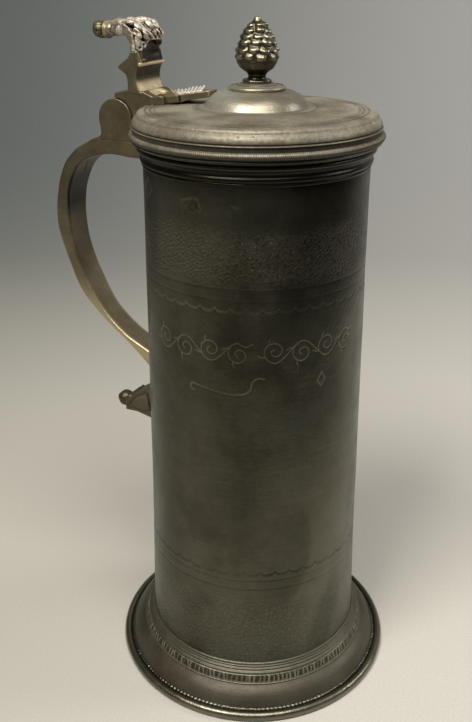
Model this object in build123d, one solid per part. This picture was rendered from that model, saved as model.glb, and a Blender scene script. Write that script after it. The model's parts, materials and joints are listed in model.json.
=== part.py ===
"""Lidded pewter tankard: waisted drum on a splayed foot, strap handle, hinged lid with thumbpiece and finial.

Row frame in millimetres: +Z up, origin at the centre of the foot's resting plane on the drum's axis,
the handle towards -X and the hinge pin along Y.
"""
from build123d import *
import os

# ---- driving dimensions -------------------------------------------------------------------
WALL = 2.4                      # cast drum wall
RIM_RADIUS = 52.8               # drum's outside radius under the lip
RIM_HEIGHT = 283.6              # drum's rim above the table
DRUM_BOTTOM = 13.5              # drum's lower edge, on the foot's flange
DRUM_FOOT_RADIUS = 56.9         # drum's outside radius inside the foot collar
BASE_THICK = 3.0
FOOT_RADIUS = 75.7              # outermost radius of the foot
SKIRT_RADIUS = 70.5             # where the skirt meets the rim moulding
COLLAR_RADIUS = 62.7            # where the collar meets the skirt

LID_GAP = 0.3                   # running gap between the lid's seat and the rim
LID_SEAT = RIM_HEIGHT + LID_GAP
LID_WALL_RADIUS = 57.0
LID_TOP = 299.4                 # flat under the dome
LID_UNDERSIDE = 296.4
BEZEL_RADIUS = 49.2             # inner flange, clear of the drum's mouth
BEZEL_BOTTOM = 279.0

HINGE_X = -69.6                 # hinge pin's axis
HINGE_Z = 290.9
HINGE_HALF_WIDTH = 11.0
EAR_RADIUS = 9.2
EAR_INNER = 4.0                 # half width of the slot between the ears
KNUCKLE_HALF_WIDTH = 3.7
KNUCKLE_RADIUS = 8.4
BLOCK_CLEAR_RADIUS = 9.6        # lid block's relief around the ears
PIN_RADIUS = 2.0
PIN_CLEARANCE = 0.06
SADDLE_Z = 280.4                # top of the handle's arm under the hinge fork
SLOT_FLOOR = 282.1

THUMB_HALF_WIDTH = 11.5
THUMB_SPLIT = 321.3             # plate below, rolled leaf above
HANDLE_SPLIT = 158.0            # strap above, scroll foot below
SCROLL_END = -76.5              # where the scroll meets its knob
KNOB_X = -80.2
KNOB_Z = 133.5
KNOB_RADIUS = 4.6
STUD_RADIUS = 2.2


# ---- helpers ------------------------------------------------------------------------------
def outline(start, *steps):
    """Closed face: a point is a line, two points an arc through both, more points a spline."""
    edges = []
    here = start
    for step in steps:
        points = step if isinstance(step, list) else [step]
        if len(points) == 1:
            edges.append(Line(here, points[0]))
        elif len(points) == 2:
            edges.append(ThreePointArc(here, *points))
        else:
            edges.append(Spline(here, *points))
        here = points[-1]
    if here != start:
        edges.append(Line(here, start))
    return make_face(edges)


def turned(start, *steps):
    """Solid of revolution about +Z from an outline in (radius, height)."""
    return revolve(Plane.XZ * outline(start, *steps), Axis.Z)


def ring(inner, outer, bottom, top):
    """Plain ring about +Z; an inner radius of 0 gives a disc."""
    solid = Pos(0, 0, bottom) * Cylinder(outer, top - bottom, align=(Align.CENTER, Align.CENTER, Align.MIN))
    if inner == 0:
        return solid
    bore = Pos(0, 0, bottom - 1) * Cylinder(
        inner, top - bottom + 2, align=(Align.CENTER, Align.CENTER, Align.MIN))
    return solid - bore


def side_plate(half_width, start, *steps):
    """Plate across the handle's plane from an outline in (x, height)."""
    return extrude(Plane.XZ * outline(start, *steps), amount=half_width, both=True)


def hinge_cylinder(radius, half_width):
    """Cylinder on the hinge axis."""
    return Pos(HINGE_X, 0, HINGE_Z) * Rot(90, 0, 0) * Cylinder(radius, 2 * half_width)


# ---- vessel -------------------------------------------------------------------------------
def drum_outside():
    """Waisted outside of the drum, as curve points going up from the foot."""
    return [(56.7, 42.0), (55.6, 83.0), (54.5, 143.0), (53.2, 235.0), (RIM_RADIUS, 262.0)]


def drum():
    inside = [(radius - WALL, height) for radius, height in reversed(drum_outside())]
    bore = inside[-1][0]
    return turned(
        (bore, DRUM_BOTTOM), (DRUM_FOOT_RADIUS, DRUM_BOTTOM), (DRUM_FOOT_RADIUS, 26.0),
        drum_outside(), (RIM_RADIUS, RIM_HEIGHT), (RIM_RADIUS - WALL, RIM_HEIGHT),
        inside[0], inside[1:])


def base_disc():
    bore = drum_outside()[0][0] - WALL
    return ring(0, bore, DRUM_BOTTOM, DRUM_BOTTOM + BASE_THICK)


def lip_band():
    return turned(
        (RIM_RADIUS, 274.4), [(53.35, 275.2), (53.0, 276.0)], [(54.0, 277.3), (53.5, 278.5)],
        [(53.6, 280.1), (54.6, 281.2)], [(55.4, 282.3), (54.9, 283.3)],
        (54.6, RIM_HEIGHT), (RIM_RADIUS, RIM_HEIGHT))


def foot_collar():
    return turned(
        (DRUM_FOOT_RADIUS, DRUM_BOTTOM), (COLLAR_RADIUS, DRUM_BOTTOM), [(63.0, 13.9), (62.4, 14.3)],
        (61.9, 14.4), (60.7, 17.7), (60.2, 18.0), [(60.6, 18.8), (59.8, 19.5)], (59.2, 19.8),
        [(59.4, 20.4), (58.7, 20.9)], (58.4, 21.1), [(58.6, 21.7), (58.0, 22.2)],
        [(57.9, 23.1), (DRUM_FOOT_RADIUS, 23.5)])


def foot_skirt():
    return turned(
        (53.5, DRUM_BOTTOM), (COLLAR_RADIUS, DRUM_BOTTOM), [(67.4, 9.95), (SKIRT_RADIUS, 4.9)],
        (SKIRT_RADIUS, 2.6), [(66.0, 7.6), (61.6, 11.0)], (53.5, 11.0))


def foot_rim():
    return turned(
        (68.8, 0), (74.2, 0), [(FOOT_RADIUS, 2.4), (73.6, 4.9)], (72.1, 4.4), (71.6, 3.7),
        (71.2, 4.6), (SKIRT_RADIUS, 4.9), (SKIRT_RADIUS, 2.6))


def lid_envelope():
    """Everything inside the lid's outer surface, for seating the hinge block."""
    return turned(
        (0, LID_SEAT), (55.6, LID_SEAT), (57.4, 285.2), (LID_WALL_RADIUS, 286.1),
        (LID_WALL_RADIUS, 291.0), (56.7, 292.1), (55.0, 295.0), (54.0, LID_UNDERSIDE),
        (0, LID_UNDERSIDE)) + lid_plate()


def vessel_envelope():
    """Everything inside the drum's and lip's outer surface, for seating the handle."""
    core = turned(
        (0, DRUM_BOTTOM), (DRUM_FOOT_RADIUS, DRUM_BOTTOM), (DRUM_FOOT_RADIUS, 26.0),
        drum_outside(), (RIM_RADIUS, RIM_HEIGHT), (0, RIM_HEIGHT))
    return core + lip_band()


def handle_width():
    """Front view of the handle: wide at the hinge, narrower down the grip."""
    half = [(11.0, 292.0), (11.0, 281.0), (9.2, 262.0), (8.3, 240.0), (7.7, 165.0), (7.2, 115.0)]
    left = [(-y, z) for y, z in reversed(half)]
    face = make_face(Polyline(*half, *left, close=True))
    return extrude(Plane.YZ * face, amount=-130)


def handle_strap():
    grip = side_plate(
        15, (-50.0, SADDLE_Z), (-78.2, SADDLE_Z), (-78.2, 282.2), (-80.1, 281.6),
        [(-87.4, 278.6), (-97.0, 273.0), (-105.5, 262.7), (-110.6, 248.0), (-112.0, 235.4),
         (-108.6, 219.3), (-100.8, 199.4), (-88.9, 185.3), (-70.7, 170.4), (-57.2, HANDLE_SPLIT)],
        (-50.0, HANDLE_SPLIT), (-50.0, 164.0), (-60.0, 169.8),
        [(-73.9, 177.2), (-86.0, 188.3), (-94.8, 202.9), (-101.2, 219.0), (-103.6, 236.0),
         (-101.9, 252.4), (-96.0, 264.3), (-87.5, 270.4), (-75.9, 272.9)],
        (-64.3, 272.4), (-50.0, 271.0))
    return (grip & handle_width()) - vessel_envelope()


def handle_scroll():
    scroll = side_plate(
        15, (-50.0, HANDLE_SPLIT), (-57.2, HANDLE_SPLIT),
        [(-57.0, 152.5), (-60.5, 147.0), (-66.5, 143.3), (-71.5, 140.0)],
        (SCROLL_END, 137.3), (SCROLL_END, 129.9), (-69.0, 130.2), (-61.0, 128.3), (-50.0, 124.0))
    return (scroll & handle_width()) - vessel_envelope()


def terminal_knob():
    ball = Pos(KNOB_X, 0, KNOB_Z) * Sphere(KNOB_RADIUS)
    half_space = Pos(SCROLL_END, 0, KNOB_Z) * Box(
        40, 40, 40, align=(Align.MAX, Align.CENTER, Align.CENTER))
    return ball & half_space


def hinge_fork():
    foot = side_plate(
        HINGE_HALF_WIDTH, (-61.0, SADDLE_Z), (-61.0, HINGE_Z), (-78.2, HINGE_Z), (-78.2, SADDLE_Z))
    slot = Pos(HINGE_X, 0, SLOT_FLOOR) * Box(
        60, 2 * EAR_INNER, 60, align=(Align.CENTER, Align.CENTER, Align.MIN))
    body = foot + hinge_cylinder(EAR_RADIUS, HINGE_HALF_WIDTH)
    return body - slot - hinge_cylinder(PIN_RADIUS, 2 * HINGE_HALF_WIDTH)


def hinge_pin():
    return hinge_cylinder(PIN_RADIUS, HINGE_HALF_WIDTH)


# ---- lid ----------------------------------------------------------------------------------
def lid_plate():
    return turned(
        (STUD_RADIUS, LID_UNDERSIDE), (51.0, LID_UNDERSIDE), (53.2, 294.2), (53.2, LID_SEAT),
        (55.6, LID_SEAT), (57.4, 285.2), (LID_WALL_RADIUS, 286.1), (LID_WALL_RADIUS, 291.1),
        [(57.45, 291.5), (LID_WALL_RADIUS, 291.9)], (56.7, 292.1), (57.0, 292.5),
        [(56.5, 294.3), (55.4, 295.7)], (55.0, 296.1), [(54.4, 297.3), (53.2, 297.9)],
        (50.0, 298.4), (25.6, LID_TOP), (STUD_RADIUS, LID_TOP))


def lid_rim_bead():
    return turned(
        (LID_WALL_RADIUS, 286.1), (57.5, 286.1), [(58.7, 287.6), (57.5, 289.1)], (LID_WALL_RADIUS, 289.1))


def lid_bezel():
    return ring(BEZEL_RADIUS - 1.5, BEZEL_RADIUS, BEZEL_BOTTOM, LID_UNDERSIDE)


def lid_dome():
    return turned(
        (21.6, LID_TOP), (25.4, LID_TOP), [(24.3, 299.6), (23.7, 300.2)],
        [(22.0, 302.6), (19.4, 304.8), (16.2, 306.1), (13.0, 306.7)], (STUD_RADIUS, 306.7),
        (STUD_RADIUS, 304.9), (12.8, 304.9), [(15.5, 304.4), (18.2, 303.3), (20.4, 301.6), (21.6, LID_TOP)])


def finial_collar():
    return turned(
        (STUD_RADIUS, 306.7), (12.7, 306.7), [(13.1, 307.4), (12.8, 308.2)], (11.6, 308.6), (10.4, 308.5),
        [(9.4, 308.8), (8.6, 309.4)], (7.0, 309.8), (STUD_RADIUS, 309.8))


def finial_washer():
    return turned(
        (STUD_RADIUS, 309.8), (6.6, 309.8), [(6.9, 310.5), (6.5, 311.2)], (STUD_RADIUS, 311.2))


def finial_stem():
    return turned(
        (STUD_RADIUS, 311.2), (4.5, 311.2), [(4.0, 312.5), (4.4, 313.8)], (STUD_RADIUS, 313.8))


def finial_cone():
    return turned(
        (STUD_RADIUS, 313.8), (4.4, 313.8), (7.9, 316.0), (9.6, 318.4), [(10.3, 321.6), (9.6, 324.6)],
        [(8.7, 327.4), (7.2, 331.0), (4.8, 334.4), (0, 337.6)], (0, 323.0), (STUD_RADIUS, 323.0))


def finial_stud():
    return ring(0, STUD_RADIUS, 292.9, 323.0)


def finial_nut():
    return turned(
        (STUD_RADIUS, 293.9), (4.6, 293.9), [(6.1, 294.9), (6.5, LID_UNDERSIDE)],
        (STUD_RADIUS, LID_UNDERSIDE))


def hinge_block():
    """Lid's half of the hinge: a block over the ears and the centre knuckle on the pin."""
    block = side_plate(
        HINGE_HALF_WIDTH, (-69.0, 299.0), (-68.7, 302.6), (-67.4, 303.4), (-61.9, 304.1), (-53.4, 303.0),
        (-49.5, 301.4), (-45.0, 302.3), (-43.0, 302.7), (-42.5, 302.4), (-42.5, 296.0), (-56.0, 290.5),
        (-60.4, 290.5))
    web = side_plate(
        KNUCKLE_HALF_WIDTH, (HINGE_X, HINGE_Z + 5), (-58.0, 298.0), (-56.0, 289.6), (-61.0, 287.4),
        (-64.5, 286.0))
    block -= hinge_cylinder(BLOCK_CLEAR_RADIUS, 2 * HINGE_HALF_WIDTH)
    block += web + hinge_cylinder(KNUCKLE_RADIUS, KNUCKLE_HALF_WIDTH) + knuckle_crown()
    return block - lid_envelope() - lid_rim_bead() - hinge_cylinder(PIN_RADIUS + PIN_CLEARANCE, 30)


def knuckle_crown():
    """Joins the knuckle to the block above it, between the ears."""
    return side_plate(
        KNUCKLE_HALF_WIDTH, (HINGE_X, HINGE_Z + 4), (-69.0, 300.8), (-60.0, 300.8), (-60.4, 292.0))


def tongue_plan():
    """Tongue seen from above: a tapering bar with a round tip."""
    face = outline((-42.5, -6.5), (-24.0, -4.6), [(-20.2, 0.0), (-24.0, 4.6)], (-42.5, 6.5))
    return extrude(Pos(0, 0, 290) * face, amount=30)


def lid_tongue():
    bar = side_plate(8, (-42.5, 302.4), (-42.5, 299.7), (-34.0, 300.7), (-20.0, 303.1), (-20.0, 305.8))
    return (bar & tongue_plan()) - lid_dome()


def tongue_beading():
    """Row of round bars across the tongue, standing on its sloping top."""
    count = 9
    first_x, last_x = -41.0, -27.6
    bars = []
    for index in range(count):
        share = index / (count - 1)
        x = first_x + share * (last_x - first_x)
        top = 302.6 + (x + 41.0) * 0.151
        bars.append(Pos(x, 0, top + 0.95) * Rot(90, 0, 0) * Cylinder(0.8, 8.0))
        bars.append(Pos(x, 0, top + 0.25) * Box(1.0, 8.0, 1.2))
    whole = bars[0]
    for bar in bars[1:]:
        whole += bar
    return whole - lid_tongue() - hinge_block()


def thumbpiece():
    """Upright plate with a spur behind and a cross ridge in front."""
    return side_plate(
        THUMB_HALF_WIDTH, (-61.9, 304.1), [(-61.4, 307.5), (-62.2, 311.3)], (-64.6, 313.0), (-66.1, 314.2),
        (-65.8, 315.0), (-62.1, 317.7), (-59.4, THUMB_SPLIT), (-56.3, THUMB_SPLIT), (-54.4, 316.4),
        (-54.4, 315.4), [(-56.4, 310.0), (-53.4, 303.0)]) - hinge_block()


def leaf_plan():
    """Rolled leaf seen from above: full width in front, narrow where it meets the bud."""
    half = [(-52.0, 11.5), (-62.0, 11.5), (-68.0, 8.5), (-77.4, 4.0)]
    mirrored = [(x, -y) for x, y in reversed(half)]
    return extrude(Pos(0, 0, 300) * make_face(Polyline(*half, *mirrored, close=True)), amount=50)


def thumbpiece_leaf():
    roll = side_plate(
        15, (-56.3, THUMB_SPLIT), (-59.4, THUMB_SPLIT), (-59.4, 324.3), [(-61.0, 327.6), (-65.5, 328.4)],
        (-70.5, 327.6), (-77.4, 326.8), (-77.4, 333.2),
        [(-72.5, 334.6), (-66.0, 335.5), (-60.0, 335.0), (-55.6, 330.0)], (-55.6, 326.6))
    return roll & leaf_plan()


def thumbpiece_bud():
    """Turned bud on the rolled leaf's tip: a collar and a flattened ball on one axis."""
    profile = outline(
        (0, 0), (4.0, 0), [(4.4, 0.8), (4.0, 1.6)], (2.9, 2.1), [(3.75, 4.9), (2.7, 7.4)],
        [(1.6, 8.3), (0.4, 8.6)], (0, 8.6))
    bud = revolve(Plane.XZ * profile, Axis.Z)
    return Pos(-77.4, 0, 330.0) * Rot(0, -90, 0) * bud


VESSEL = [drum, base_disc, lip_band, foot_collar, foot_skirt, foot_rim, handle_strap, handle_scroll,
          terminal_knob, hinge_fork, hinge_pin]
LID = [lid_plate, lid_rim_bead, lid_bezel, lid_dome, finial_collar, finial_washer, finial_stem,
       finial_cone, finial_stud, finial_nut, hinge_block, lid_tongue, tongue_beading, thumbpiece,
       thumbpiece_leaf, thumbpiece_bud]

os.makedirs("parts", exist_ok=True)
for make in VESSEL + LID:
    export_step(make(), f"parts/{make.__name__}.step")
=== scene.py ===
import json
import math
import bpy
import numpy as np
from mathutils import Matrix, Vector


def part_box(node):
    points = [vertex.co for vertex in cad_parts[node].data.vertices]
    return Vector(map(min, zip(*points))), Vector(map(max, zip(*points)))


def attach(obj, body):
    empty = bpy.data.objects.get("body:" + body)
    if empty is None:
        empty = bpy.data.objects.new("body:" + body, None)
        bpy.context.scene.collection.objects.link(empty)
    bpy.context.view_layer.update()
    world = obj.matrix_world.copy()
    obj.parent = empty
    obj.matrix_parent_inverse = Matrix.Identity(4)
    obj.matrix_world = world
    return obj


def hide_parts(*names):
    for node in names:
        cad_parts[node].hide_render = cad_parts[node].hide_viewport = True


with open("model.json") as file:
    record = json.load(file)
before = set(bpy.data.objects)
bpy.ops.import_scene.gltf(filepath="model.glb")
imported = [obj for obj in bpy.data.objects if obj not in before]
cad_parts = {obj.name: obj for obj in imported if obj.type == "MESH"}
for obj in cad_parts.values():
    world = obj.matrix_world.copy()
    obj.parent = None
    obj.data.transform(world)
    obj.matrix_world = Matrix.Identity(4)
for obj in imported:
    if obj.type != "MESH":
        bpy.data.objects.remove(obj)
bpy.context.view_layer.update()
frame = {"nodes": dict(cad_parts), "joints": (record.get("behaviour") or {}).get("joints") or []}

MM = 0.001
TURN = 2 * math.pi
SEED = 7
CELL_SCALE = 1.0     # coarser carving while trying things

# ---- driving dimensions, in mm ------------------------------------------------------------
def extent(node):
    """Lowest and highest corner of a CAD node's box, in mm."""
    return [1000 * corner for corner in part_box(node)]


HINGE_X, _, HINGE_Z = [1000 * value for value in frame["joints"][0]["pos_m"]]
SCROLL_END = extent("handle_scroll")[0].x
KNOB_X = SCROLL_END - 3.7
KNOB_Z = 133.5
THUMB_HALF = extent("thumbpiece")[1].y
THUMB_SPLIT = extent("thumbpiece_leaf")[0].z
HINGE_HALF = extent("hinge_fork")[1].y
PIN_RADIUS = 2.0
RIM_RADIUS = 52.8
RIM_HEIGHT = extent("drum")[1].z
DRUM_BOTTOM = 13.5
WALL = 2.4

# ---- drum decoration, in mm and degrees ----------------------------------------------------
UPPER_LINE = 229.9
UPPER_BAND = 220.3
LOWER_BAND = 80.3
LOWER_LINES = (75.6, 70.5)
WAVE_PITCH = 7.4
WAVE_REACH = 1.3
ORNAMENT_HEIGHT = 200.0
ORNAMENT_PITCH = 13.2
FACE_ANGLE = -65.5              # the decorated front of the drum, degrees from +X


# ---- outlines -------------------------------------------------------------------------------
def arc_through(a, b, c, step):
    """Points of the circle arc from a through b to c, without a."""
    (ax, ay), (bx, by), (cx, cy) = a, b, c
    d = 2 * (ax * (by - cy) + bx * (cy - ay) + cx * (ay - by))
    if abs(d) < 1e-9:
        return [b, c]
    ux = ((ax**2 + ay**2) * (by - cy) + (bx**2 + by**2) * (cy - ay) + (cx**2 + cy**2) * (ay - by)) / d
    uy = ((ax**2 + ay**2) * (cx - bx) + (bx**2 + by**2) * (ax - cx) + (cx**2 + cy**2) * (bx - ax)) / d
    radius = math.hypot(ax - ux, ay - uy)
    start = math.atan2(ay - uy, ax - ux)
    middle = (math.atan2(by - uy, bx - ux) - start) % TURN
    sweep = (math.atan2(cy - uy, cx - ux) - start) % TURN
    if middle > sweep:
        sweep -= TURN
    count = max(3, math.ceil(abs(sweep) * radius / step))
    angles = [start + sweep * (i + 1) / count for i in range(count)]
    return [(ux + radius * math.cos(t), uy + radius * math.sin(t)) for t in angles]


def curve_through(points, step):
    """Catmull-Rom points through a list, without the first."""
    p = np.array([points[0], *points, points[-1]], float)
    p[0] = 2 * p[1] - p[2]
    p[-1] = 2 * p[-2] - p[-3]
    made = []
    for a, b, c, d in zip(p[:-3], p[1:-2], p[2:-1], p[3:]):
        count = max(2, math.ceil(np.linalg.norm(c - b) / step))
        t = (np.arange(count) + 1)[:, None] / count
        made += list(0.5 * (2 * b + (c - a) * t + (2 * a - 5 * b + 4 * c - d) * t**2
                            + (3 * b - a - 3 * c + d) * t**3))
    return [tuple(q) for q in made]


def outline(start, *steps, step=0.5):
    """Dense points along an outline: a point is a line, a list of two an arc, a longer list a curve."""
    points = [start]
    for move in steps:
        here = points[-1]
        if isinstance(move, tuple):
            count = max(1, math.ceil(math.dist(here, move) / step))
            points += [tuple(np.add(here, np.subtract(move, here) * (i + 1) / count)) for i in range(count)]
        elif len(move) == 2:
            points += arc_through(here, *move, step)
        else:
            points += curve_through([here, *move], step)
    return np.array(points)


def ease(x):
    """0 up to 0, 1 from 1 on, smooth between."""
    x = np.clip(x, 0, 1)
    return x * x * (3 - 2 * x)


def hump(x, width):
    """1 at 0, fading away over the width on both sides."""
    return np.exp(-(x / width)**2)


def ripple(x, y, z, pitch, seed):
    """Smooth wandering value between about -1 and 1, for cast and worn unevenness."""
    rng = np.random.default_rng(seed)
    total = 0
    for _ in range(7):
        direction = rng.normal(size=3)
        direction *= TURN / pitch * rng.uniform(0.6, 1.5) / np.linalg.norm(direction)
        total = total + np.sin(x * direction[0] + y * direction[1] + z * direction[2] + rng.uniform(0, TURN))
    return total / 3.5


def ripple_round(angle, radius, height, pitch, seed):
    """The same on a turned surface."""
    return ripple(radius * np.cos(angle), radius * np.sin(angle), height, pitch, seed)


# ---- meshes -----------------------------------------------------------------------------------
def mesh_piece(name, points, faces, material, crease=38, tone=None):
    """A piece from points in mm. tone darkens a point (down to -1, for dirt and painted shade) or brightens
    it (up to 1, for wear and painted highlights).
    """
    mesh = bpy.data.meshes.new(name)
    mesh.from_pydata((np.asarray(points) * MM).tolist(), [], faces)
    mesh.validate()
    mesh.polygons.foreach_set("use_smooth", np.ones(len(mesh.polygons), bool))
    mesh.set_sharp_from_angle(angle=math.radians(crease))
    if tone is not None:
        values = np.clip(tone, -1, 1).astype(np.float32)
        mesh.attributes.new("tone", "FLOAT", "POINT").data.foreach_set("value", values)
    mesh.materials.append(material)
    piece = bpy.data.objects.new(name, mesh)
    bpy.context.scene.collection.objects.link(piece)
    return piece


def woven(rings, loop):
    """Faces between neighbouring rings whose point counts are equal, one to two, or one point."""
    starts = np.cumsum([0] + [len(ring) for ring in rings])
    pairs = [(i, i + 1) for i in range(len(rings) - 1)]
    if loop:
        pairs.append((len(rings) - 1, 0))
    faces = []
    for low, high in pairs:
        n, m = len(rings[low]), len(rings[high])
        a = starts[low] + np.arange(n)
        b = starts[high] + np.arange(m)
        a_next, b_next = np.roll(a, -1), np.roll(b, -1)
        if n == m:
            made = [np.stack([a, a_next, b_next, b], 1)]
        elif n == 1:
            made = [np.stack([np.full(m, a[0]), b_next, b], 1)]
        elif m == 1:
            made = [np.stack([a, a_next, np.full(n, b[0])], 1)]
        elif m == 2 * n:
            made = [np.stack([a, a_next, b[1::2]], 1), np.stack([a, b[1::2], b[::2]], 1),
                    np.stack([a_next, b_next[1::2], b[1::2]], 1)]
        else:
            made = [np.stack([a[1::2], b_next, b], 1), np.stack([a[::2], a[1::2], b], 1),
                    np.stack([a[1::2], a_next[1::2], b_next], 1)]
        for part in made:
            faces += part.tolist()
    return faces


def profile_normals(points, loop):
    """Outward normals of an outline that runs up its outer side."""
    before, after = np.roll(points, 1, 0), np.roll(points, -1, 0)
    if not loop:
        before[0], after[-1] = points[0], points[-1]
    tangent = after - before
    tangent /= np.maximum(np.linalg.norm(tangent, axis=1), 1e-9)[:, None]
    return np.stack([tangent[:, 1], -tangent[:, 0]], 1)


def groove_tone(angle, radius, height, lift):
    """Dirt gathers in grooves."""
    return np.clip(lift / 0.25, -1, 0) * 0.6


def turned(name, points, material, segments, relief=None, loop=True, crease=38, fine=None, tone=groove_tone):
    """Outline in (radius, height), swept about +Z. relief(angle, radius, height) lifts the surface, in mm,
    tone(angle, radius, height, lift) gives its tone, and fine(height, radius) says which rows have twice as
    many points."""
    normals = profile_normals(points, loop)
    angles = np.arange(segments) * TURN / segments
    doubled = np.arange(2 * segments) * TURN / (2 * segments)
    rings, tones = [], []
    for (radius, height), normal in zip(points, normals):
        if radius < 1e-6:
            rings.append(np.array([[0, 0, height]]))
            tones.append(np.zeros(1))
            continue
        turn = doubled if fine is not None and fine(height, radius) else angles
        lift = relief(turn, radius, height) if relief is not None else np.zeros_like(turn)
        out = radius + lift * normal[0]
        rings.append(np.stack([out * np.cos(turn), out * np.sin(turn), height + lift * normal[1]], 1))
        tones.append(tone(turn, radius, height, lift) + 0 * turn)
    faces = woven(rings, loop)
    return mesh_piece(name, np.concatenate(rings), faces, material, crease, np.concatenate(tones))


# ---- solids by distance ------------------------------------------------------------------------
def outline_distance(u, v, points):
    """Signed distance from a closed outline, negative inside."""
    nearest, inside = np.inf, False
    for a, b in zip(points, np.roll(points, -1, 0)):
        edge = b - a
        span = max(float(edge @ edge), 1e-12)
        t = np.clip(((u - a[0]) * edge[0] + (v - a[1]) * edge[1]) / span, 0, 1)
        nearest = np.minimum(nearest, (u - a[0] - t * edge[0])**2 + (v - a[1] - t * edge[1])**2)
        if a[1] != b[1]:
            crosses = ((a[1] <= v) != (b[1] <= v)) & (u < a[0] + (v - a[1]) * edge[0] / edge[1])
            inside = inside ^ crosses
    return np.where(inside, -1.0, 1.0) * np.sqrt(nearest)


def thick(side, y, half, soft=0.5):
    """Plate across the handle's plane from the distance field of its side view, with rounded edges."""
    d = side + soft
    e = abs(y) - half + soft
    return np.minimum(np.maximum(d, e), 0) + np.hypot(np.maximum(d, 0), np.maximum(e, 0)) - soft


def plate(x, y, z, points, half, soft=0.5):
    """Plate across the handle's plane from a side outline, with rounded edges."""
    return thick(outline_distance(x, z, points), y, half, soft)


def petal(x, y, z, centre, heading, radii):
    """Ellipsoid whose first axis points along heading, degrees up from +X in the handle's plane."""
    c, d = math.cos(math.radians(heading)), math.sin(math.radians(heading))
    u, w = x - centre[0], z - centre[2]
    return ball(u * c + w * d, y - centre[1], w * c - u * d, (0, 0, 0), radii)


def ball(x, y, z, centre, radii):
    """Near-exact distance from an ellipsoid."""
    a, b, c = np.broadcast_to(radii, 3)
    u, v, w = x - centre[0], y - centre[1], z - centre[2]
    k = np.sqrt((u / a)**2 + (v / b)**2 + (w / c)**2)
    k2 = np.sqrt((u / a**2)**2 + (v / b**2)**2 + (w / c**2)**2)
    return k * (k - 1) / np.maximum(k2, 1e-6)


def rod(x, y, z, start, end, radius, end_radius=None):
    """Distance from a round-ended rod whose radius may taper."""
    a, axis = np.array(start, float), np.subtract(end, start)
    t = np.clip(((x - a[0]) * axis[0] + (y - a[1]) * axis[1] + (z - a[2]) * axis[2]) / (axis @ axis), 0, 1)
    gap = np.sqrt((x - a[0] - t * axis[0])**2 + (y - a[1] - t * axis[1])**2 + (z - a[2] - t * axis[2])**2)
    return gap - (radius if end_radius is None else radius + (end_radius - radius) * t)


def hoop(x, y, z, centre, normal, radius, thickness):
    """Distance from a ring of round wire."""
    n = np.array(normal, float) / np.linalg.norm(normal)
    u, v, w = x - centre[0], y - centre[1], z - centre[2]
    along = u * n[0] + v * n[1] + w * n[2]
    across = np.sqrt(np.maximum(u * u + v * v + w * w - along**2, 0))
    return np.hypot(across - radius, along) - thickness


def join(a, b, soft=0.0):
    """Union, with a fillet of about soft."""
    if soft == 0:
        return np.minimum(a, b)
    h = np.maximum(soft - abs(a - b), 0) / soft
    return np.minimum(a, b) - h * h * soft / 4


def keep(a, b, soft=0.0):
    """Overlap of two solids."""
    return -join(-a, -b, soft)


def carve(a, b, soft=0.0):
    """a without b."""
    return keep(a, -b, soft)


def sculpted(name, solid, low, high, cell, material, tone=None, crevice=0.9):
    """The zero surface of solid(x, y, z), a distance in mm, found cell by cell and drawn onto that surface.
    Points where something stands within crevice mm of the surface are darkened, a painted occlusion shade
    that also stands for grime; tone(x, y, z) adds to that."""
    cell = cell * CELL_SCALE
    axes = [np.arange(a - 2 * cell, b + 2.5 * cell, cell) for a, b in zip(low, high)]
    x, y, z = axes[0][:, None, None], axes[1][None, :, None], axes[2][None, None, :]
    field = np.broadcast_to(solid(x, y, z), [len(axis) for axis in axes]).copy()
    field[field == 0] = 1e-9
    size = [n - 1 for n in field.shape]
    total = np.zeros(size + [3])
    hits = np.zeros(size)
    for axis in range(3):
        others = [k for k in range(3) if k != axis]
        for i in (0, 1):
            for j in (0, 1):
                first = [slice(0, n) for n in size]
                first[others[0]] = slice(i, size[others[0]] + i)
                first[others[1]] = slice(j, size[others[1]] + j)
                second = list(first)
                second[axis] = slice(1, size[axis] + 1)
                a, b = field[tuple(first)], field[tuple(second)]
                crossed = (a < 0) != (b < 0)
                t = np.where(crossed, a / np.where(crossed, a - b, 1), 0)
                total[..., axis] += t
                total[..., others[0]] += crossed * i
                total[..., others[1]] += crossed * j
                hits += crossed
    used = np.argwhere(hits > 0)
    number = np.full(size, -1)
    number[tuple(used.T)] = np.arange(len(used))
    points = used + total[tuple(used.T)] / hits[tuple(used.T)][:, None]
    points = np.array([axis[0] for axis in axes]) + points * cell
    faces = []
    for axis in range(3):
        u, v = (axis + 1) % 3, (axis + 2) % 3
        first = [slice(1, -1)] * 3
        first[axis] = slice(0, -1)
        second = list(first)
        second[axis] = slice(1, None)
        a, b = field[tuple(first)], field[tuple(second)]
        at = np.argwhere((a < 0) != (b < 0))
        outward = (a < 0)[tuple(at.T)]
        at[:, u] += 1
        at[:, v] += 1
        corners = []
        for du, dv in ((1, 1), (0, 1), (0, 0), (1, 0)):
            cell_at = at.copy()
            cell_at[:, u] -= du
            cell_at[:, v] -= dv
            corners.append(number[tuple(cell_at.T)])
        quads = np.stack(corners, 1)
        quads[~outward] = quads[~outward][:, ::-1]
        faces.append(quads)
    for _ in range(2):
        slope = slope_of(solid, points, cell)
        step = solid(*points.T) / np.maximum((slope**2).sum(1), 0.3)
        points = points - slope * np.clip(step, -0.4 * cell, 0.4 * cell)[:, None]
    slope = slope_of(solid, points, cell)
    # painted occlusion shade, with grime: darker where the solid stands within crevice mm above the surface
    above = points + slope * (crevice / np.maximum(np.linalg.norm(slope, axis=1), 0.3))[:, None]
    tones = np.clip(solid(*above.T) / crevice, 0, 1) - 1
    if tone is not None:
        tones = tones + tone(*points.T)
    return mesh_piece(name, points, np.concatenate(faces).tolist(), material, 38, tones)


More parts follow.
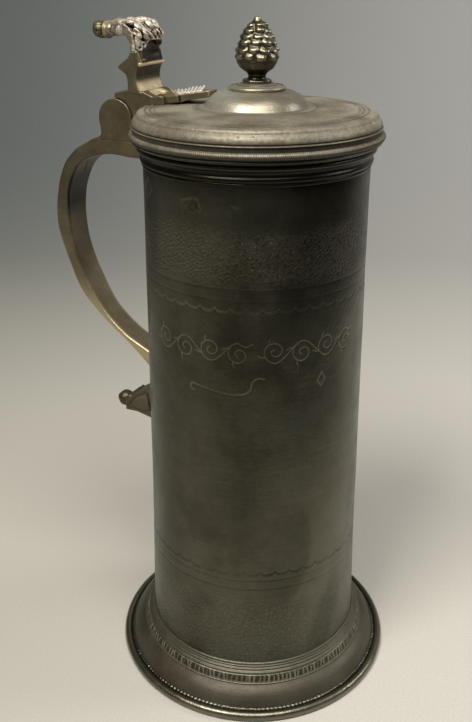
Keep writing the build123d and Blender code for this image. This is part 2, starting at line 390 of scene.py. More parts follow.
def slope_of(solid, points, cell):
    """How a distance field changes along x, y and z at each point."""
    reach = 0.25 * cell
    x, y, z = points.T
    return np.stack([solid(x + reach, y, z) - solid(x - reach, y, z),
                     solid(x, y + reach, z) - solid(x, y - reach, z),
                     solid(x, y, z + reach) - solid(x, y, z - reach)], 1) / (2 * reach)


def fit(piece, body, slot, *nodes):
    """The piece rides on a body and stands for CAD nodes. slot is not used."""
    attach(piece, body)
    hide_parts(*nodes)
    return piece


# ---- materials -----------------------------------------------------------------------------------
class Nodes:
    """Short names for building one material's node tree."""

    def __init__(self, name):
        self.material = bpy.data.materials.new(name)
        self.material.use_nodes = True
        self.tree = self.material.node_tree
        self.tree.nodes.clear()
        self.output = self.tree.nodes.new("ShaderNodeOutputMaterial")
        self.shader = self.tree.nodes.new("ShaderNodeBsdfPrincipled")
        self.tree.links.new(self.shader.outputs[0], self.output.inputs[0])

    def add(self, kind, inputs=(), **settings):
        node = self.tree.nodes.new("ShaderNode" + kind)
        for key, value in settings.items():
            setattr(node, key, value)
        for key, value in dict(inputs).items():
            self.put(node.inputs[key], value)
        return node

    def put(self, socket, value):
        if isinstance(value, bpy.types.NodeSocket):
            self.tree.links.new(value, socket)
        else:
            socket.default_value = value

    def math(self, operation, *values):
        return self.add("Math", enumerate(values), operation=operation).outputs[0]

    def ramp(self, value, low, high, start=0.0, end=1.0):
        """value from low to high, mapped to start to end, eased and clamped."""
        node = self.add("MapRange", {"Value": value, "From Min": low, "From Max": high,
                                     "To Min": start, "To Max": end}, interpolation_type="SMOOTHSTEP")
        return node.outputs[0]

    def mix(self, share, a, b):
        node = self.add("Mix", data_type="RGBA")
        self.put(node.inputs["Factor"], share)
        self.put(node.inputs[6], a)
        self.put(node.inputs[7], b)
        return node.outputs[2]

    def noise(self, vector, scale, detail=3.0, rough=0.55):
        node = self.add("TexNoise", {"Vector": vector, "Scale": scale, "Detail": detail, "Roughness": rough})
        return node.outputs["Fac"]

    def bump(self, height, distance, strength=1.0, normal=None):
        inputs = {"Height": height, "Distance": distance, "Strength": strength}
        if normal is not None:
            inputs["Normal"] = normal
        return self.add("Bump", inputs).outputs[0]


def colour(red, green, blue):
    return (red, green, blue, 1.0)


def pewter(name, dark, light, rough, lathe=0.0, chatter=(), grain=0.00006, metal=0.9, wear=0.35,
           speckle=0.16):
    """Aged pewter: mottled patina, fine grain, sparse pits and scratches, worn edges and, where lathe is
    above 0, turning lines. chatter holds (bottom, top, strength), in metres, of zones of tool chatter."""
    n = Nodes(name)

    def scaled(share, *shade):
        return colour(*[min(1, share * c) for c in shade])
    place = n.add("TexCoord").outputs["Object"]
    xyz = n.add("SeparateXYZ", {0: place})
    height = xyz.outputs["Z"]
    radius = n.math("SQRT", n.math("ADD", n.math("MULTIPLY", xyz.outputs["X"], xyz.outputs["X"]),
                                   n.math("MULTIPLY", xyz.outputs["Y"], xyz.outputs["Y"])))
    patina = n.noise(place, 26, 5, 0.62)
    cloud = n.noise(place, 90, 4, 0.6)
    fleck = n.noise(place, 650, 3, 0.6)
    tone = n.math("ADD", n.math("MULTIPLY", patina, 0.6), n.math("MULTIPLY", cloud, 0.4))
    base = n.mix(n.ramp(tone, 0.36, 0.66), colour(*dark), colour(*light))
    base = n.mix(n.ramp(fleck, 0.3, 0.75, speckle, 0.0), base, scaled(0.45, *dark))
    # pewter ages brown in some places and grey-green in others
    cool = [0.5 * (a + b) * tint for a, b, tint in zip(dark, light, (0.84, 0.96, 1.07))]
    base = n.mix(n.ramp(n.noise(place, 13, 3), 0.44, 0.62, 0.0, 0.5), base, colour(*cool))
    if lathe:
        lines_at = n.add("CombineXYZ", {0: n.math("MULTIPLY", radius, 1700.0),
                                        2: n.math("MULTIPLY", height, 1700.0)})
        lines = n.noise(lines_at.outputs[0], 1.0, 3, 0.7)
        streak = n.math("MULTIPLY", n.ramp(lines, 0.40, 0.62, 0.30, 0.0), n.ramp(cloud, 0.40, 0.60))
        base = n.mix(streak, base, scaled(0.5, *dark))
    if chatter:
        marks = chatter_marks(n, xyz, height, chatter)
        base = n.mix(n.math("MULTIPLY", marks, 0.30), base, scaled(1.5, *light))
    # pits: small dark spots where a coarse noise lets them be
    cells = n.add("TexVoronoi", {"Vector": place, "Scale": 260.0}).outputs["Distance"]
    spots = n.math("MULTIPLY", n.ramp(cells, 0.07, 0.15, 1.0, 0.0), n.ramp(patina, 0.56, 0.64))
    base = n.mix(n.math("MULTIPLY", spots, 0.75), base, scaled(0.22, *dark))
    # worn edges, and hollows darkened with painted occlusion shade and grime
    point = n.add("NewGeometry").outputs["Pointiness"]
    edge = n.ramp(point, 0.515, 0.60)
    hollow = n.ramp(point, 0.485, 0.42)
    base = n.mix(n.math("MULTIPLY", edge, wear), base, scaled(1.7, *light))
    base = n.mix(n.math("MULTIPLY", hollow, 0.6), base, scaled(0.3, *dark))
    # the tone attribute: below 0 darkens for dirt and painted shade, above 0 brightens for wear and painted
    # highlights
    marked = n.add("Attribute", attribute_name="tone", attribute_type="GEOMETRY").outputs["Fac"]
    dirt_and_shade = n.math("MAXIMUM", n.math("MULTIPLY", marked, -0.95), 0.0)
    base = n.mix(dirt_and_shade, base, scaled(0.12, *dark))
    base = n.mix(n.math("MAXIMUM", marked, 0.0), base, scaled(3.0, *light))
    n.put(n.shader.inputs["Base Color"], base)
    n.put(n.shader.inputs["Metallic"], metal)
    # roughness: tarnish is duller, rubbed edges are brighter
    scratch_at = n.add("VectorMath", {0: place, 1: (900.0, 900.0, 60.0)}, operation="MULTIPLY").outputs[0]
    scratch = n.ramp(n.noise(scratch_at, 1.0, 2, 0.5), 0.60, 0.70)
    dull = n.math("ADD", rough, n.math("MULTIPLY", n.math("SUBTRACT", cloud, 0.5), 0.3))
    dull = n.math("SUBTRACT", dull, n.math("MULTIPLY", edge, 0.08))
    dull = n.math("ADD", dull, n.math("MULTIPLY", scratch, 0.05))
    n.put(n.shader.inputs["Roughness"], n.math("MAXIMUM", dull, 0.12))
    # bump: grain, pits, scratches, then turning lines and chatter
    normal = n.bump(n.noise(place, 1500, 3, 0.6), grain)
    normal = n.bump(n.noise(place, 420, 3, 0.5), grain * 1.6, 1.0, normal)
    normal = n.bump(n.math("SUBTRACT", 1.0, spots), 0.00008, 1.0, normal)
    normal = n.bump(scratch, 0.00002, 0.6, normal)
    if lathe:
        normal = n.bump(lines, 0.00003 * lathe, 1.0, normal)
    if chatter:
        normal = n.bump(marks, 0.00013, 1.0, normal)
    n.put(n.shader.inputs["Normal"], normal)
    return n.material


def chatter_marks(n, xyz, height, bands):
    """Short slanting ripples left by a chattering turning tool, in bands (bottom, top, strength)."""
    angle = n.math("ARCTAN2", xyz.outputs["Y"], xyz.outputs["X"])
    along = n.math("MULTIPLY", angle, 0.054)
    slanted = n.add("CombineXYZ", {
        0: n.math("MULTIPLY", n.math("ADD", along, n.math("MULTIPLY", height, 0.8)), 420.0),
        1: n.math("MULTIPLY", n.math("ADD", height, n.math("MULTIPLY", along, -0.8)), 860.0)})
    marks = n.ramp(n.noise(slanted.outputs[0], 1.0, 2, 0.5), 0.36, 0.64)
    where = 0.0
    for bottom, top, strength in bands:
        rise = n.ramp(height, bottom - 0.004, bottom + 0.006)
        fall = n.ramp(height, top - 0.006, top + 0.004, 1.0, 0.0)
        where = n.math("ADD", where, n.math("MULTIPLY", n.math("MULTIPLY", rise, fall), strength))
    return n.math("MULTIPLY", marks, where)


DRUM_PEWTER = pewter("drum_pewter", (0.066, 0.063, 0.044), (0.135, 0.128, 0.096), 0.34, lathe=0.6,
                     chatter=[(0.231, 0.257, 1.0), (0.022, 0.064, 1.0)])
FOOT_PEWTER = pewter("foot_pewter", (0.055, 0.050, 0.035), (0.125, 0.115, 0.086), 0.44, lathe=1.0, metal=0.8)
SKIRT_PEWTER = pewter("skirt_pewter", (0.070, 0.058, 0.036), (0.142, 0.121, 0.083), 0.46, lathe=1.0,
                      metal=0.45)
RIM_PEWTER = pewter("rim_pewter", (0.10, 0.092, 0.066), (0.20, 0.184, 0.14), 0.30, lathe=1.0)
LID_PEWTER = pewter("lid_pewter", (0.19, 0.163, 0.115), (0.39, 0.345, 0.262), 0.47, lathe=1.6,
                    grain=0.0001, metal=0.4, speckle=0.55)
DOME_PEWTER = pewter("dome_pewter", (0.27, 0.24, 0.175), (0.45, 0.41, 0.31), 0.36, lathe=1.2,
                     grain=0.00008, metal=0.65)
CAST_PEWTER = pewter("cast_pewter", (0.115, 0.093, 0.055), (0.225, 0.188, 0.12), 0.42,
                     grain=0.0001, metal=0.7)
# painted light: a brighter copy of the cast pewter, for the strong light on the thumbpiece's head and the
# beading
LEAF_PEWTER = pewter("leaf_pewter", (0.27, 0.215, 0.145), (0.54, 0.445, 0.33), 0.42,
                     grain=0.0001, metal=0.5, wear=0.5)
CONE_PEWTER = pewter("cone_pewter", (0.12, 0.105, 0.07), (0.26, 0.235, 0.17), 0.32, grain=0.00008, wear=0.6)
PIN_METAL = pewter("pin_metal", (0.12, 0.103, 0.067), (0.22, 0.195, 0.135), 0.34)


# ---- drum ---------------------------------------------------------------------------------------
def drum_radius(height):
    heights = [DRUM_BOTTOM, 26.0, 42.0, 83.0, 143.0, 235.0, 262.0, RIM_HEIGHT]
    radii = [56.9, 56.9, 56.7, 55.6, 54.5, 53.2, RIM_RADIUS, RIM_RADIUS]
    return float(np.interp(height, heights, radii))


def scroll_strokes():
    """Engraved scroll work, as polylines in (arc length from the front, height)."""
    strokes = []
    turn = np.linspace(0, 1, 44)
    for group_start, count in ((-47.0, 4), (9.0, 4)):
        ends = []
        for k in range(count):
            hand = 1 if k % 2 else -1
            centre = np.array([group_start + ORNAMENT_PITCH * k, ORNAMENT_HEIGHT - hand * 0.8])
            angle = hand * (math.pi / 2) + hand * TURN * 1.45 * turn
            reach = 5.6 * (1 - 0.84 * turn)
            spiral = centre + np.stack([reach * np.cos(angle), reach * np.sin(angle)], 1)
            strokes.append(spiral)
            ends.append(spiral[0])
            for share, size in ((0.12, 2.6), (0.30, 2.0)):
                root = spiral[int(share * (len(spiral) - 1))]
                away = (root - centre) / np.linalg.norm(root - centre)
                bend = np.array([-away[1], away[0]]) * hand
                strokes.append(np.array([root, root + away * size * 0.6 + bend * size * 0.2,
                                         root + away * size + bend * size * 0.8]))
        for a, b in zip(ends, ends[1:]):
            t = turn[:, None]
            across = a + (b - a) * t
            across[:, 1] = a[1] + (b[1] - a[1]) * ease(turn)
            strokes.append(across)
        bow = 1.6 * np.sign(ORNAMENT_HEIGHT - ends[-1][1])
        strokes.append(ends[-1] + np.stack([6.5 * turn, bow * np.sin(turn * math.pi)], 1))
    # a long swash under the left group, curled at both ends, and a small lozenge under the right one
    strokes.append(outline((-29.5, 178.6), [(-31.5, 180.4), (-29.6, 182.0)],
                           [(-20.0, 180.3), (-12.0, 179.2), (-5.5, 179.6), (-2.0, 182.0), (-1.2, 185.6),
                            (1.2, 187.8), (4.6, 187.6)]))
    strokes.append(outline((33.0, 179.8), (35.3, 183.4), (33.0, 187.0), (30.7, 183.4), (33.0, 179.8)))
    return strokes


def stroke_gap(u, v, strokes):
    """Distance to the nearest of some polylines."""
    nearest = np.full(np.broadcast(u, v).shape, np.inf)
    for stroke in strokes:
        low, high = stroke.min(0) - 2, stroke.max(0) + 2
        at = (u > low[0]) & (u < high[0]) & (v > low[1]) & (v < high[1])
        at = np.broadcast_to(at, nearest.shape)
        if not at.any():
            continue
        p, q = np.broadcast_to(u, nearest.shape)[at], np.broadcast_to(v, nearest.shape)[at]
        best = nearest[at]
        for a, b in zip(stroke[:-1], stroke[1:]):
            edge = b - a
            t = np.clip(((p - a[0]) * edge[0] + (q - a[1]) * edge[1]) / max(edge @ edge, 1e-9), 0, 1)
            best = np.minimum(best, np.hypot(p - a[0] - t * edge[0], q - a[1] - t * edge[1]))
        nearest[at] = best
    return nearest


def wriggle_depth(s, height, middle):
    """Wriggle work: a wave whose line is a row of short cuts across it, as a rocked chisel leaves."""
    phase = (s / WAVE_PITCH) % 1
    wave = middle + WAVE_REACH * (1 - 2 * np.sqrt(1 - 0.96 * (2 * phase - 1)**2))
    off = abs(height - wave)
    cuts = (0.5 + 0.5 * np.cos(TURN * (s + 0.5 * (height - wave)) / 1.24))**1.5
    fade = 0.8 + 0.2 * np.sin(s * 0.21) * np.sin(s * 0.083 + 1)
    return -0.20 * fade * np.exp(-(off / 0.75)**4) * (0.12 + 0.88 * cuts)


STROKES = scroll_strokes()
# blank assay stamps: direction in degrees, height, width, length, tilt and how rubbed their rims are
STAMPS = [(-132.0, 267.0, 8.0, 6.5, 40, 0.80), (-97.5, 265.0, 9.5, 6.0, 12, 0.12),
          (-75.0, 264.0, 6.0, 4.5, -14, 0.07)]


def stamp_depth(angle, radius, height):
    """Blank assay stamps, shallow, worn and unlettered. Gives their depth and how rubbed they are."""
    total, rim = 0, 0
    for middle, level, wide, tall, tilt, wear_and_sheen in STAMPS:
        s = (np.degrees(angle) - middle + 180) % 360 - 180
        u, v = np.radians(s) * radius, height - level
        c, d = math.cos(math.radians(tilt)), math.sin(math.radians(tilt))
        p, q = abs(u * c + v * d) - wide / 2, abs(v * c - u * d) - tall / 2
        gap = np.hypot(np.maximum(p, 0), np.maximum(q, 0)) + np.minimum(np.maximum(p, q), 0)
        sunk = ease((0.25 - gap) / 0.7)
        total = total - 0.13 * sunk + 0.04 * sunk * ripple(u, v, 0, 2.2, SEED + 20)
        edge = hump(gap + 0.1, 0.45)
        total = total + 0.05 * edge
        rim = rim + wear_and_sheen * edge + 0.6 * wear_and_sheen * sunk * (0.5 + 0.5 * ripple(u, v, 0, 1.6, SEED + 24))
    return total, rim


def from_face(angle):
    """Degrees to the right of the decorated front."""
    return (np.degrees(angle) - FACE_ANGLE + 180) % 360 - 180


def drum_relief(angle, radius, height):
    """Height of the worn, engraved wall over a plain one, and its tone: painted highlights in the engraved
    strokes and upper wriggle band, painted shade in the lower band, and rubbed stamp rims.
    """
    arc = np.radians(from_face(angle)) * radius
    lift = 0.10 * ripple_round(angle, radius, height, 46, SEED)
    lift = lift + 0.025 * ripple_round(angle, radius, height, 13, SEED + 1)
    for line, depth in ((UPPER_LINE, 0.11), (UPPER_LINE - 5.2, 0.08), (LOWER_LINES[0], 0.16),
                        (LOWER_LINES[1], 0.16), (LOWER_LINES[0] - 1.4, 0.06)):
        lift = lift - depth * hump(height - line, 0.45)
    bright = np.zeros_like(angle)
    for band in (UPPER_BAND, LOWER_BAND):
        if abs(height - band) < 4:
            cuts = wriggle_depth(angle * 54.8, height, band)
            lift = lift + cuts
            # painted light: a painted highlight in the upper band's cuts, painted shade in the lower band's
            bright = bright - (2.2 if band == UPPER_BAND else -2.4) * cuts
    if 176 < height < 212:
        engraved = hump(stroke_gap(arc, np.full_like(arc, height), STROKES), 0.25)
        lift = lift - 0.17 * engraved
        # painted highlight along the engraved strokes
        bright = 0.55 * engraved
    if 256 < height < 275:
        sunk, bright = stamp_depth(angle, radius, height)
        lift = lift + sunk
    return lift, bright


def drum_rows():
    """Heights of the outer wall's rows: close together where there is decoration."""
    zones = [(UPPER_BAND - 2.8, UPPER_BAND + 2.8, 0.46), (LOWER_BAND - 2.8, LOWER_BAND + 2.8, 0.46),
             (193.0, 207.4, 0.38), (177.2, 188.6, 0.45), (258.5, 273.5, 0.75),
             (UPPER_LINE - 6.6, UPPER_LINE + 1.4, 0.5), (LOWER_LINES[1] - 1.6, LOWER_LINES[0] + 1.6, 0.4)]
    rows, height = [], DRUM_BOTTOM
    while height < RIM_HEIGHT:
        rows.append(height)
        step = 4.0
        for low, high, pitch in zones:
            if low <= height < high:
                step = pitch
            elif height < low:
                step = min(step, max(low - height, pitch))
        height += step
    return rows + [RIM_HEIGHT]


def fineness(height):
    """0 where the decoration is finest, 1 where it is coarser, 2 on the plain wall."""
    if abs(height - UPPER_BAND) < 3 or abs(height - LOWER_BAND) < 3 or 193 <= height < 208:
        return 0
    return 1 if 177 <= height < 189 or 258 <= height < 274 else 2


def drum_angles():
    """Directions of the drum's columns: twice as close on the decorated front."""
    front = np.linspace(FACE_ANGLE - 78, FACE_ANGLE + 78, 300, endpoint=False)
    back = np.linspace(FACE_ANGLE + 78, FACE_ANGLE + 282, 100, endpoint=False)
    return np.radians(np.concatenate([front, back]))


def drum_stain_and_shade(angle, radius, height):
    """Stains, a rubbed patch at upper left, and painted light: the lid's painted shadow under the lip, a
    painted floor reflection at lower right, and painted dark reflections at upper right and below the
    middle."""
    stain = ease(ripple_round(angle, radius, 0.6 * height, 34, SEED + 21) - 0.1)
    side = from_face(angle)
    wear_and_sheen = hump(side + 38, 24) * hump(height - 246, 15)
    dark = ease((side - 2) / 26) * ease((100 - side) / 30) * ease((height - 200) / 30)
    lit = ease((side - 12) / 30) * ease((150 - height) / 60)
    patch = hump(side + 6, 17) * hump(height - 128, 24)
    # painted shadow of the lid on the top of the drum
    lid_shadow = 0.75 * ease((height - 266) / 14)
    return 0.12 * wear_and_sheen + 0.14 * lit - 0.34 * patch - 0.46 * dark - 0.24 * stain - lid_shadow


def drum_body():
    outside = [(drum_radius(h), h) for h in drum_rows()]
    bore = RIM_RADIUS - WALL
    edge = [(RIM_RADIUS - 0.5, RIM_HEIGHT), (bore + 0.4, RIM_HEIGHT), (bore, RIM_HEIGHT - 0.4)]
    inside = [(drum_radius(h) - WALL, h) for h in np.linspace(RIM_HEIGHT - 4, DRUM_BOTTOM, 32)]
    points = np.array(outside + edge + inside)
    full = drum_angles()
    levels = [fineness(h) if r > 52.5 else 2 for r, h in points]
    for _ in range(3):
        before, after = np.roll(levels, 1), np.roll(levels, -1)
        levels = np.minimum(levels, np.minimum(before, after) + 1)
    finest = np.empty(2 * len(full))
    finest[::2] = full
    finest[1::2] = (full + np.append(full[1:], full[0] + TURN)) / 2
    rings, tones = [], []
    for (radius, height), level in zip(points, levels):
        turn = finest[::2**level]
        lift, bright = np.zeros_like(turn), np.zeros_like(turn)
        if radius > drum_radius(height) - 0.3 and height < RIM_HEIGHT - 1:
            lift, bright = drum_relief(turn, radius, height)
        elif height < RIM_HEIGHT - 3:
            lift = -0.06 * ripple_round(turn, radius, height, 30, SEED)
        out = radius + lift
        rings.append(np.stack([out * np.cos(turn), out * np.sin(turn), np.full_like(turn, height)], 1))
        hollow = np.clip((lift + 0.1) * 4, -0.3, 0) * (bright < 0.05)
        tones.append(bright + hollow + drum_stain_and_shade(turn, out, height))
    piece = mesh_piece("drum_body", np.concatenate(rings), woven(rings, True), DRUM_PEWTER,
                       tone=np.concatenate(tones))
    return fit(piece, "vessel", "pewter", "drum")


def drum_floor():
    low, high = extent("base_disc")
    points = outline((0, low.z), (high.x, low.z), (high.x, high.z), (0, high.z), step=1.2)

    def relief(angle, radius, height):
        rings = -0.12 * sum(hump(radius - r, 0.5) for r in (12, 30, 46))
        return np.full_like(angle, rings if radius < high.x - 2 else 0)
    piece = turned("drum_floor", points, FOOT_PEWTER, 192, relief, loop=False)
    return fit(piece, "vessel", "pewter", "base_disc")


def lip_moulding():
    top = extent("lip_band")[1].z
    points = outline(
        (RIM_RADIUS, top - 9.2), [(53.35, top - 8.4), (53.0, top - 7.6)],
        [(54.0, top - 6.3), (53.5, top - 5.1)], [(53.6, top - 3.5), (54.6, top - 2.4)],
        [(55.4, top - 1.3), (54.9, top - 0.3)], (54.6, top),
        (RIM_RADIUS, top), (RIM_RADIUS, top - 9.0), step=0.25)

    def relief(angle, radius, height):
        return 0.03 * ripple_round(angle, radius, height, 9, SEED) if radius > 52.9 else 0 * angle

    def tone(angle, radius, height, lift):
        # painted shade under the lid's overhang, deepest in the moulding's inner hollow
        return -0.85 if radius < 54.4 else -0.5
    piece = turned("lip_moulding", points, DRUM_PEWTER, 420, relief, tone=tone)
    return fit(piece, "vessel", "pewter", "lip_band")


# ---- foot ---------------------------------------------------------------------------------------
def foot_ornament():
    """Three fine rings above a sloping band of rouletted leaves, each a stroke that forks at its top."""
    base = extent("foot_collar")[0].z
    points = outline(
        (56.9, base), (62.7, base), [(63.0, base + 0.4), (62.4, base + 0.8)], (61.9, base + 0.9),
        (60.7, base + 4.2), (60.2, base + 4.5), [(60.6, base + 5.3), (59.8, base + 6.0)], (59.2, base + 6.3),
        [(59.4, base + 6.9), (58.7, base + 7.4)], (58.4, base + 7.6),
        [(58.6, base + 8.2), (58.0, base + 8.7)], [(57.9, base + 9.6), (56.9, base + 10.0)],
        (56.9, base + 0.3), step=0.3)
    middle, reach, inner = base + 2.6, 1.55, 57.2
    rng = np.random.default_rng(SEED)
    strokes = 160
    strength = rng.uniform(0.35, 1.0, strokes)
    shift = rng.uniform(-0.28, 0.28, strokes)
    lean = rng.uniform(-0.25, 0.25, strokes)

    def relief(angle, radius, height):
        if radius < inner or abs(height - middle) > reach + 0.5:
            return 0.03 * ripple_round(angle, radius, height, 7, SEED) * (radius > inner)
        level = (height - middle) / reach
        place = angle / TURN * strokes
        index = np.floor(place).astype(int) % strokes
        inside = place % 1 - 0.5 - shift[index] - lean[index] * level
        leaf = hump(inside, 0.17 - 0.07 * level)
        forked = hump(abs(inside) - 0.11 * (1 + level), 0.10)
        shape = np.maximum(leaf * (level < 0.9), 0.8 * forked)
        return (0.62 * strength[index] * shape - 0.22) * math.exp(-(level**6))

    def tone(angle, radius, height, lift):
        banded = abs(height - middle) < 2.0 and radius > inner
        return np.clip(lift * 2.6 + 0.30, -0.5, 0.8) if banded else 0.15
    piece = turned("foot_ornament", points, FOOT_PEWTER, 480, relief, tone=tone,
                   fine=lambda h, r: abs(h - middle) < 2.1 and r > inner)
    return fit(piece, "vessel", "pewter", "foot_collar")


def foot_skirt_shell():
    base, top = [corner.z for corner in extent("foot_skirt")]
    points = outline((53.5, top), (53.5, top - 2.5), (61.6, top - 2.5), [(66.0, 7.6), (70.5, base)],
                     (70.5, base + 2.3), [(67.4, 9.95), (62.7, top)], (53.8, top), step=0.5)

    def relief(angle, radius, height):
        lift = 0.06 * ripple_round(angle, radius, height, 16, SEED + 2)
        edge = ease((radius - 62.7) / 1.5) * ease((70.5 - radius) / 1.5)
        return lift * edge

    def tone(angle, radius, height, lift):
        return 0.15 * ripple_round(angle, radius, height, 20, SEED + 22) - 0.26
    piece = turned("foot_skirt_shell", points, SKIRT_PEWTER, 384, relief, tone=tone)
    return fit(piece, "vessel", "pewter", "foot_skirt")


def foot_moulding():
    """Half-round bead that stands on the table, with a fine uneven sawtooth line inside it."""
    outer = extent("foot_rim")[1].x
    points = outline(
        (68.8, 0), (outer - 1.5, 0), [(outer, 2.4), (outer - 2.1, 4.9)], (72.1, 4.4), (71.6, 3.7),
        (71.2, 4.6), (70.5, 4.9), (70.5, 2.6), (68.9, 0.1), step=0.3)
    rng = np.random.default_rng(SEED + 3)
    teeth = 200
    size = rng.uniform(0.45, 1.0, teeth)

    def relief(angle, radius, height):
        lift = 0.04 * ripple_round(angle, radius, height, 8, SEED + 4) - 0.04
        if height > 3.2 and radius < 72.4:
            place = angle / TURN * teeth
            index = np.floor(place).astype(int) % teeth
            tooth = hump(place % 1 - 0.5, 0.24) * size[index]
            return lift + (0.38 * tooth - 0.10) * hump(radius - 71.0, 0.8)
        return lift * ease(height / 1.5)

    def tone(angle, radius, height, lift):
        return np.clip(lift * 1.5 - 0.15, -0.6, 0.3) if height > 3.2 and radius < 72.4 else 0.10
    piece = turned("foot_moulding", points, RIM_PEWTER, 480, relief, tone=tone,
                   fine=lambda h, r: h > 3.2 and r < 72.6)
    return fit(piece, "vessel", "pewter", "foot_rim")


# ---- handle ---------------------------------------------------------------------------------------
def handle_half(height):
    """Half width of the handle: wide at the hinge, narrower down the grip."""
    return np.interp(height, [115.0, 165.0, 240.0, 262.0, 279.5, 292.0], [7.2, 7.7, 8.3, 9.2, 11.0, 11.0])


def handle_strap():
    outer = outline((-78.2, 280.0), [(-80.6, 281.3), (-87.4, 278.6), (-97.0, 273.0), (-105.5, 262.7),
                    (-110.6, 248.0), (-112.0, 235.4), (-108.6, 219.3), (-100.8, 199.4), (-88.9, 185.3),
                    (-70.7, 170.4), (-57.2, 158.0), (-53.8, 154.0)], step=0.8)
    inner = outline((-64.3, 272.4), [(-75.9, 272.9), (-87.5, 270.4), (-96.0, 264.3), (-101.9, 252.4),
                    (-103.6, 236.0), (-101.2, 219.0), (-94.8, 202.9), (-86.0, 188.3), (-73.9, 177.2),
                    (-60.0, 169.8), (-52.4, 165.8)], step=0.8)
    arm = outline((-61.4, 286.0), (-78.2, 286.0), (-79.0, 282.4), (-80.4, 281.5), step=1.2)
    body = np.concatenate([arm, outer[2:], inner[::-1], [(-54.0, 272.2), (-54.0, 286.0)]])
    inner_line = inner[np.argsort(inner[:, 1])]

    def tone(x, y, z):
        # painted shade darkens the hollow of the upper bend, hands have rubbed the edges of the lower grip,
        # and the grip is lighter low down and darker high up
        inside = ease((x - np.interp(z, *inner_line.T[::-1]) + 1.6) / 1.2) * (z < 271)
        wear_and_sheen = ease((abs(y) - handle_half(z) + 2.6) / 1.8) * ease((208 - z) / 26) * ease((z - 158) / 8)
        height_tone = 0.20 * ease((235 - z) / 40) - 0.3 * ease((z - 238) / 20) * ease((276 - z) / 4)
        hollow = ease((z - 232) / 16) * (1 - 0.6 * ease((z - 256) / 8))
        return height_tone + 0.55 * wear_and_sheen - 0.98 * inside * hollow

    def solid(x, y, z):
        half = handle_half(z)
        grip = plate(x, y, z, body, half, 1.3)
        wall = np.hypot(x, y) - np.interp(z, [143.0, 235.0, 262.0, 276.0], [54.3, 53.0, 52.6, 52.9])
        grip = carve(grip, wall, 0.15)
        grip = keep(grip, np.where(x > -78.3, z - 280.4, z - 282.4))
        # a casting flaw marks the inner bend
        grip = carve(grip, rod(x, y, z, (-94.0, -1.6, 265.8), (-97.6, 0.6, 261.8), 0.9, 0.4), 0.8)
        return grip + 0.12 * (1.5 + ripple(x, y, z, 15, SEED + 5)) * ease((280.4 - z) / 3)
    piece = sculpted("handle_grip", solid, (-112.6, -11.2, 150.0), (-53.0, 11.2, 282.4), 0.62,
                     CAST_PEWTER, tone)
    return fit(piece, "vessel", "handle_pewter", "handle_strap")


def handle_scroll():
    body = outline((-50.0, 158.2), (-57.2, 158.2),
                   [(-57.0, 152.5), (-60.5, 147.0), (-66.5, 143.3), (-71.5, 140.0)],
                   (SCROLL_END, 137.3), (SCROLL_END, 129.9), (-69.0, 130.2), (-61.0, 128.3), (-50.0, 124.0))
    panel = outline((-61.5, 144.0), (-69.5, 139.5), (-73.5, 133.8), (-65.0, 132.2), (-60.0, 134.0))

    def solid(x, y, z):
        wall = np.hypot(x, y) - np.interp(z, [120.0, 143.0, 165.0], [54.7, 54.3, 54.0])
        mass = plate(x, y, z, body, handle_half(z), 1.0)
        raised = keep(plate(x, y, z, panel, 20, 0.6), abs(y) - handle_half(z) - 0.75, 0.5)
        mass = join(mass, raised, 0.6)
        beads = join(rod(x, y, z, (-73.2, -7.0, 139.0), (-73.2, 7.0, 139.0), 0.9),
                     rod(x, y, z, (SCROLL_END + 0.9, -6.4, 137.2), (SCROLL_END + 0.9, 6.4, 137.2), 0.8))
        return carve(join(mass, beads, 0.5), wall, 0.15) + 0.08 * ripple(x, y, z, 6, SEED + 6)
    piece = sculpted("handle_foot", solid, (-77.8, -9.5, 123.5), (-52.0, 9.5, 158.6), 0.4, CAST_PEWTER,
                     lambda x, y, z: -0.3 * ease((142 - z) / 6))
    return fit(piece, "vessel", "handle_pewter", "handle_scroll")


def terminal_knob():
    def solid(x, y, z):
        knob = ball(x, y, z, (KNOB_X, 0, KNOB_Z), (4.3, 4.7, 4.5))
        collar = hoop(x, y, z, (SCROLL_END - 0.7, 0, KNOB_Z), (1, 0, 0), 3.0, 0.9)
        button = ball(x, y, z, (KNOB_X - 3.6, 0, KNOB_Z), (1.5, 2.2, 2.2))
        whole = join(join(knob, collar, 0.7), button, 0.4)
        return keep(whole, x - SCROLL_END, 0.1) + 0.06 * ripple(x, y, z, 4, SEED + 7)
    piece = sculpted("handle_knob", solid, (-86.5, -5, 128), (SCROLL_END, 5, 139), 0.3, CAST_PEWTER,
                     lambda x, y, z: -0.45)
    return fit(piece, "vessel", "handle_pewter", "terminal_knob")


# ---- hinge ----------------------------------------------------------------------------------------
def hinge_gap(x, z):
    """Distance from the hinge's axis."""
    return np.hypot(x - HINGE_X, z - HINGE_Z)


def hinge_ears():
    """The ears stand a little proud of the pin, whose ends are peened over and don't show."""
    saddle, skin = 280.4, 0.25
    foot = outline((-61.0, saddle - 3), (-61.0, 290.5), (-78.2, 290.5), (-78.2, 284.4),
                   [(-78.9, 282.3), (-80.8, 281.2)], (-80.8, saddle - 3), step=1.0)

    def solid(x, y, z):
        side = join(hinge_gap(x, z) - 9.2, outline_distance(x, z, foot), 1.5)
        ears = thick(side, y, HINGE_HALF + skin * ease((z - saddle) / 4), 0.4)
        ears = carve(ears, keep(abs(y) - 4.0, 282.1 - z, 0.3), 0.2)
        return keep(ears + 0.05 * ripple(x, y, z, 5, SEED + 8) * ease((z - saddle) / 3), saddle - z)
    piece = sculpted("hinge_ears", solid, (-81.4, -11.5, saddle), (-60.2, 11.5, 300.4), 0.33, CAST_PEWTER)
    return fit(piece, "vessel", "handle_pewter", "hinge_fork")


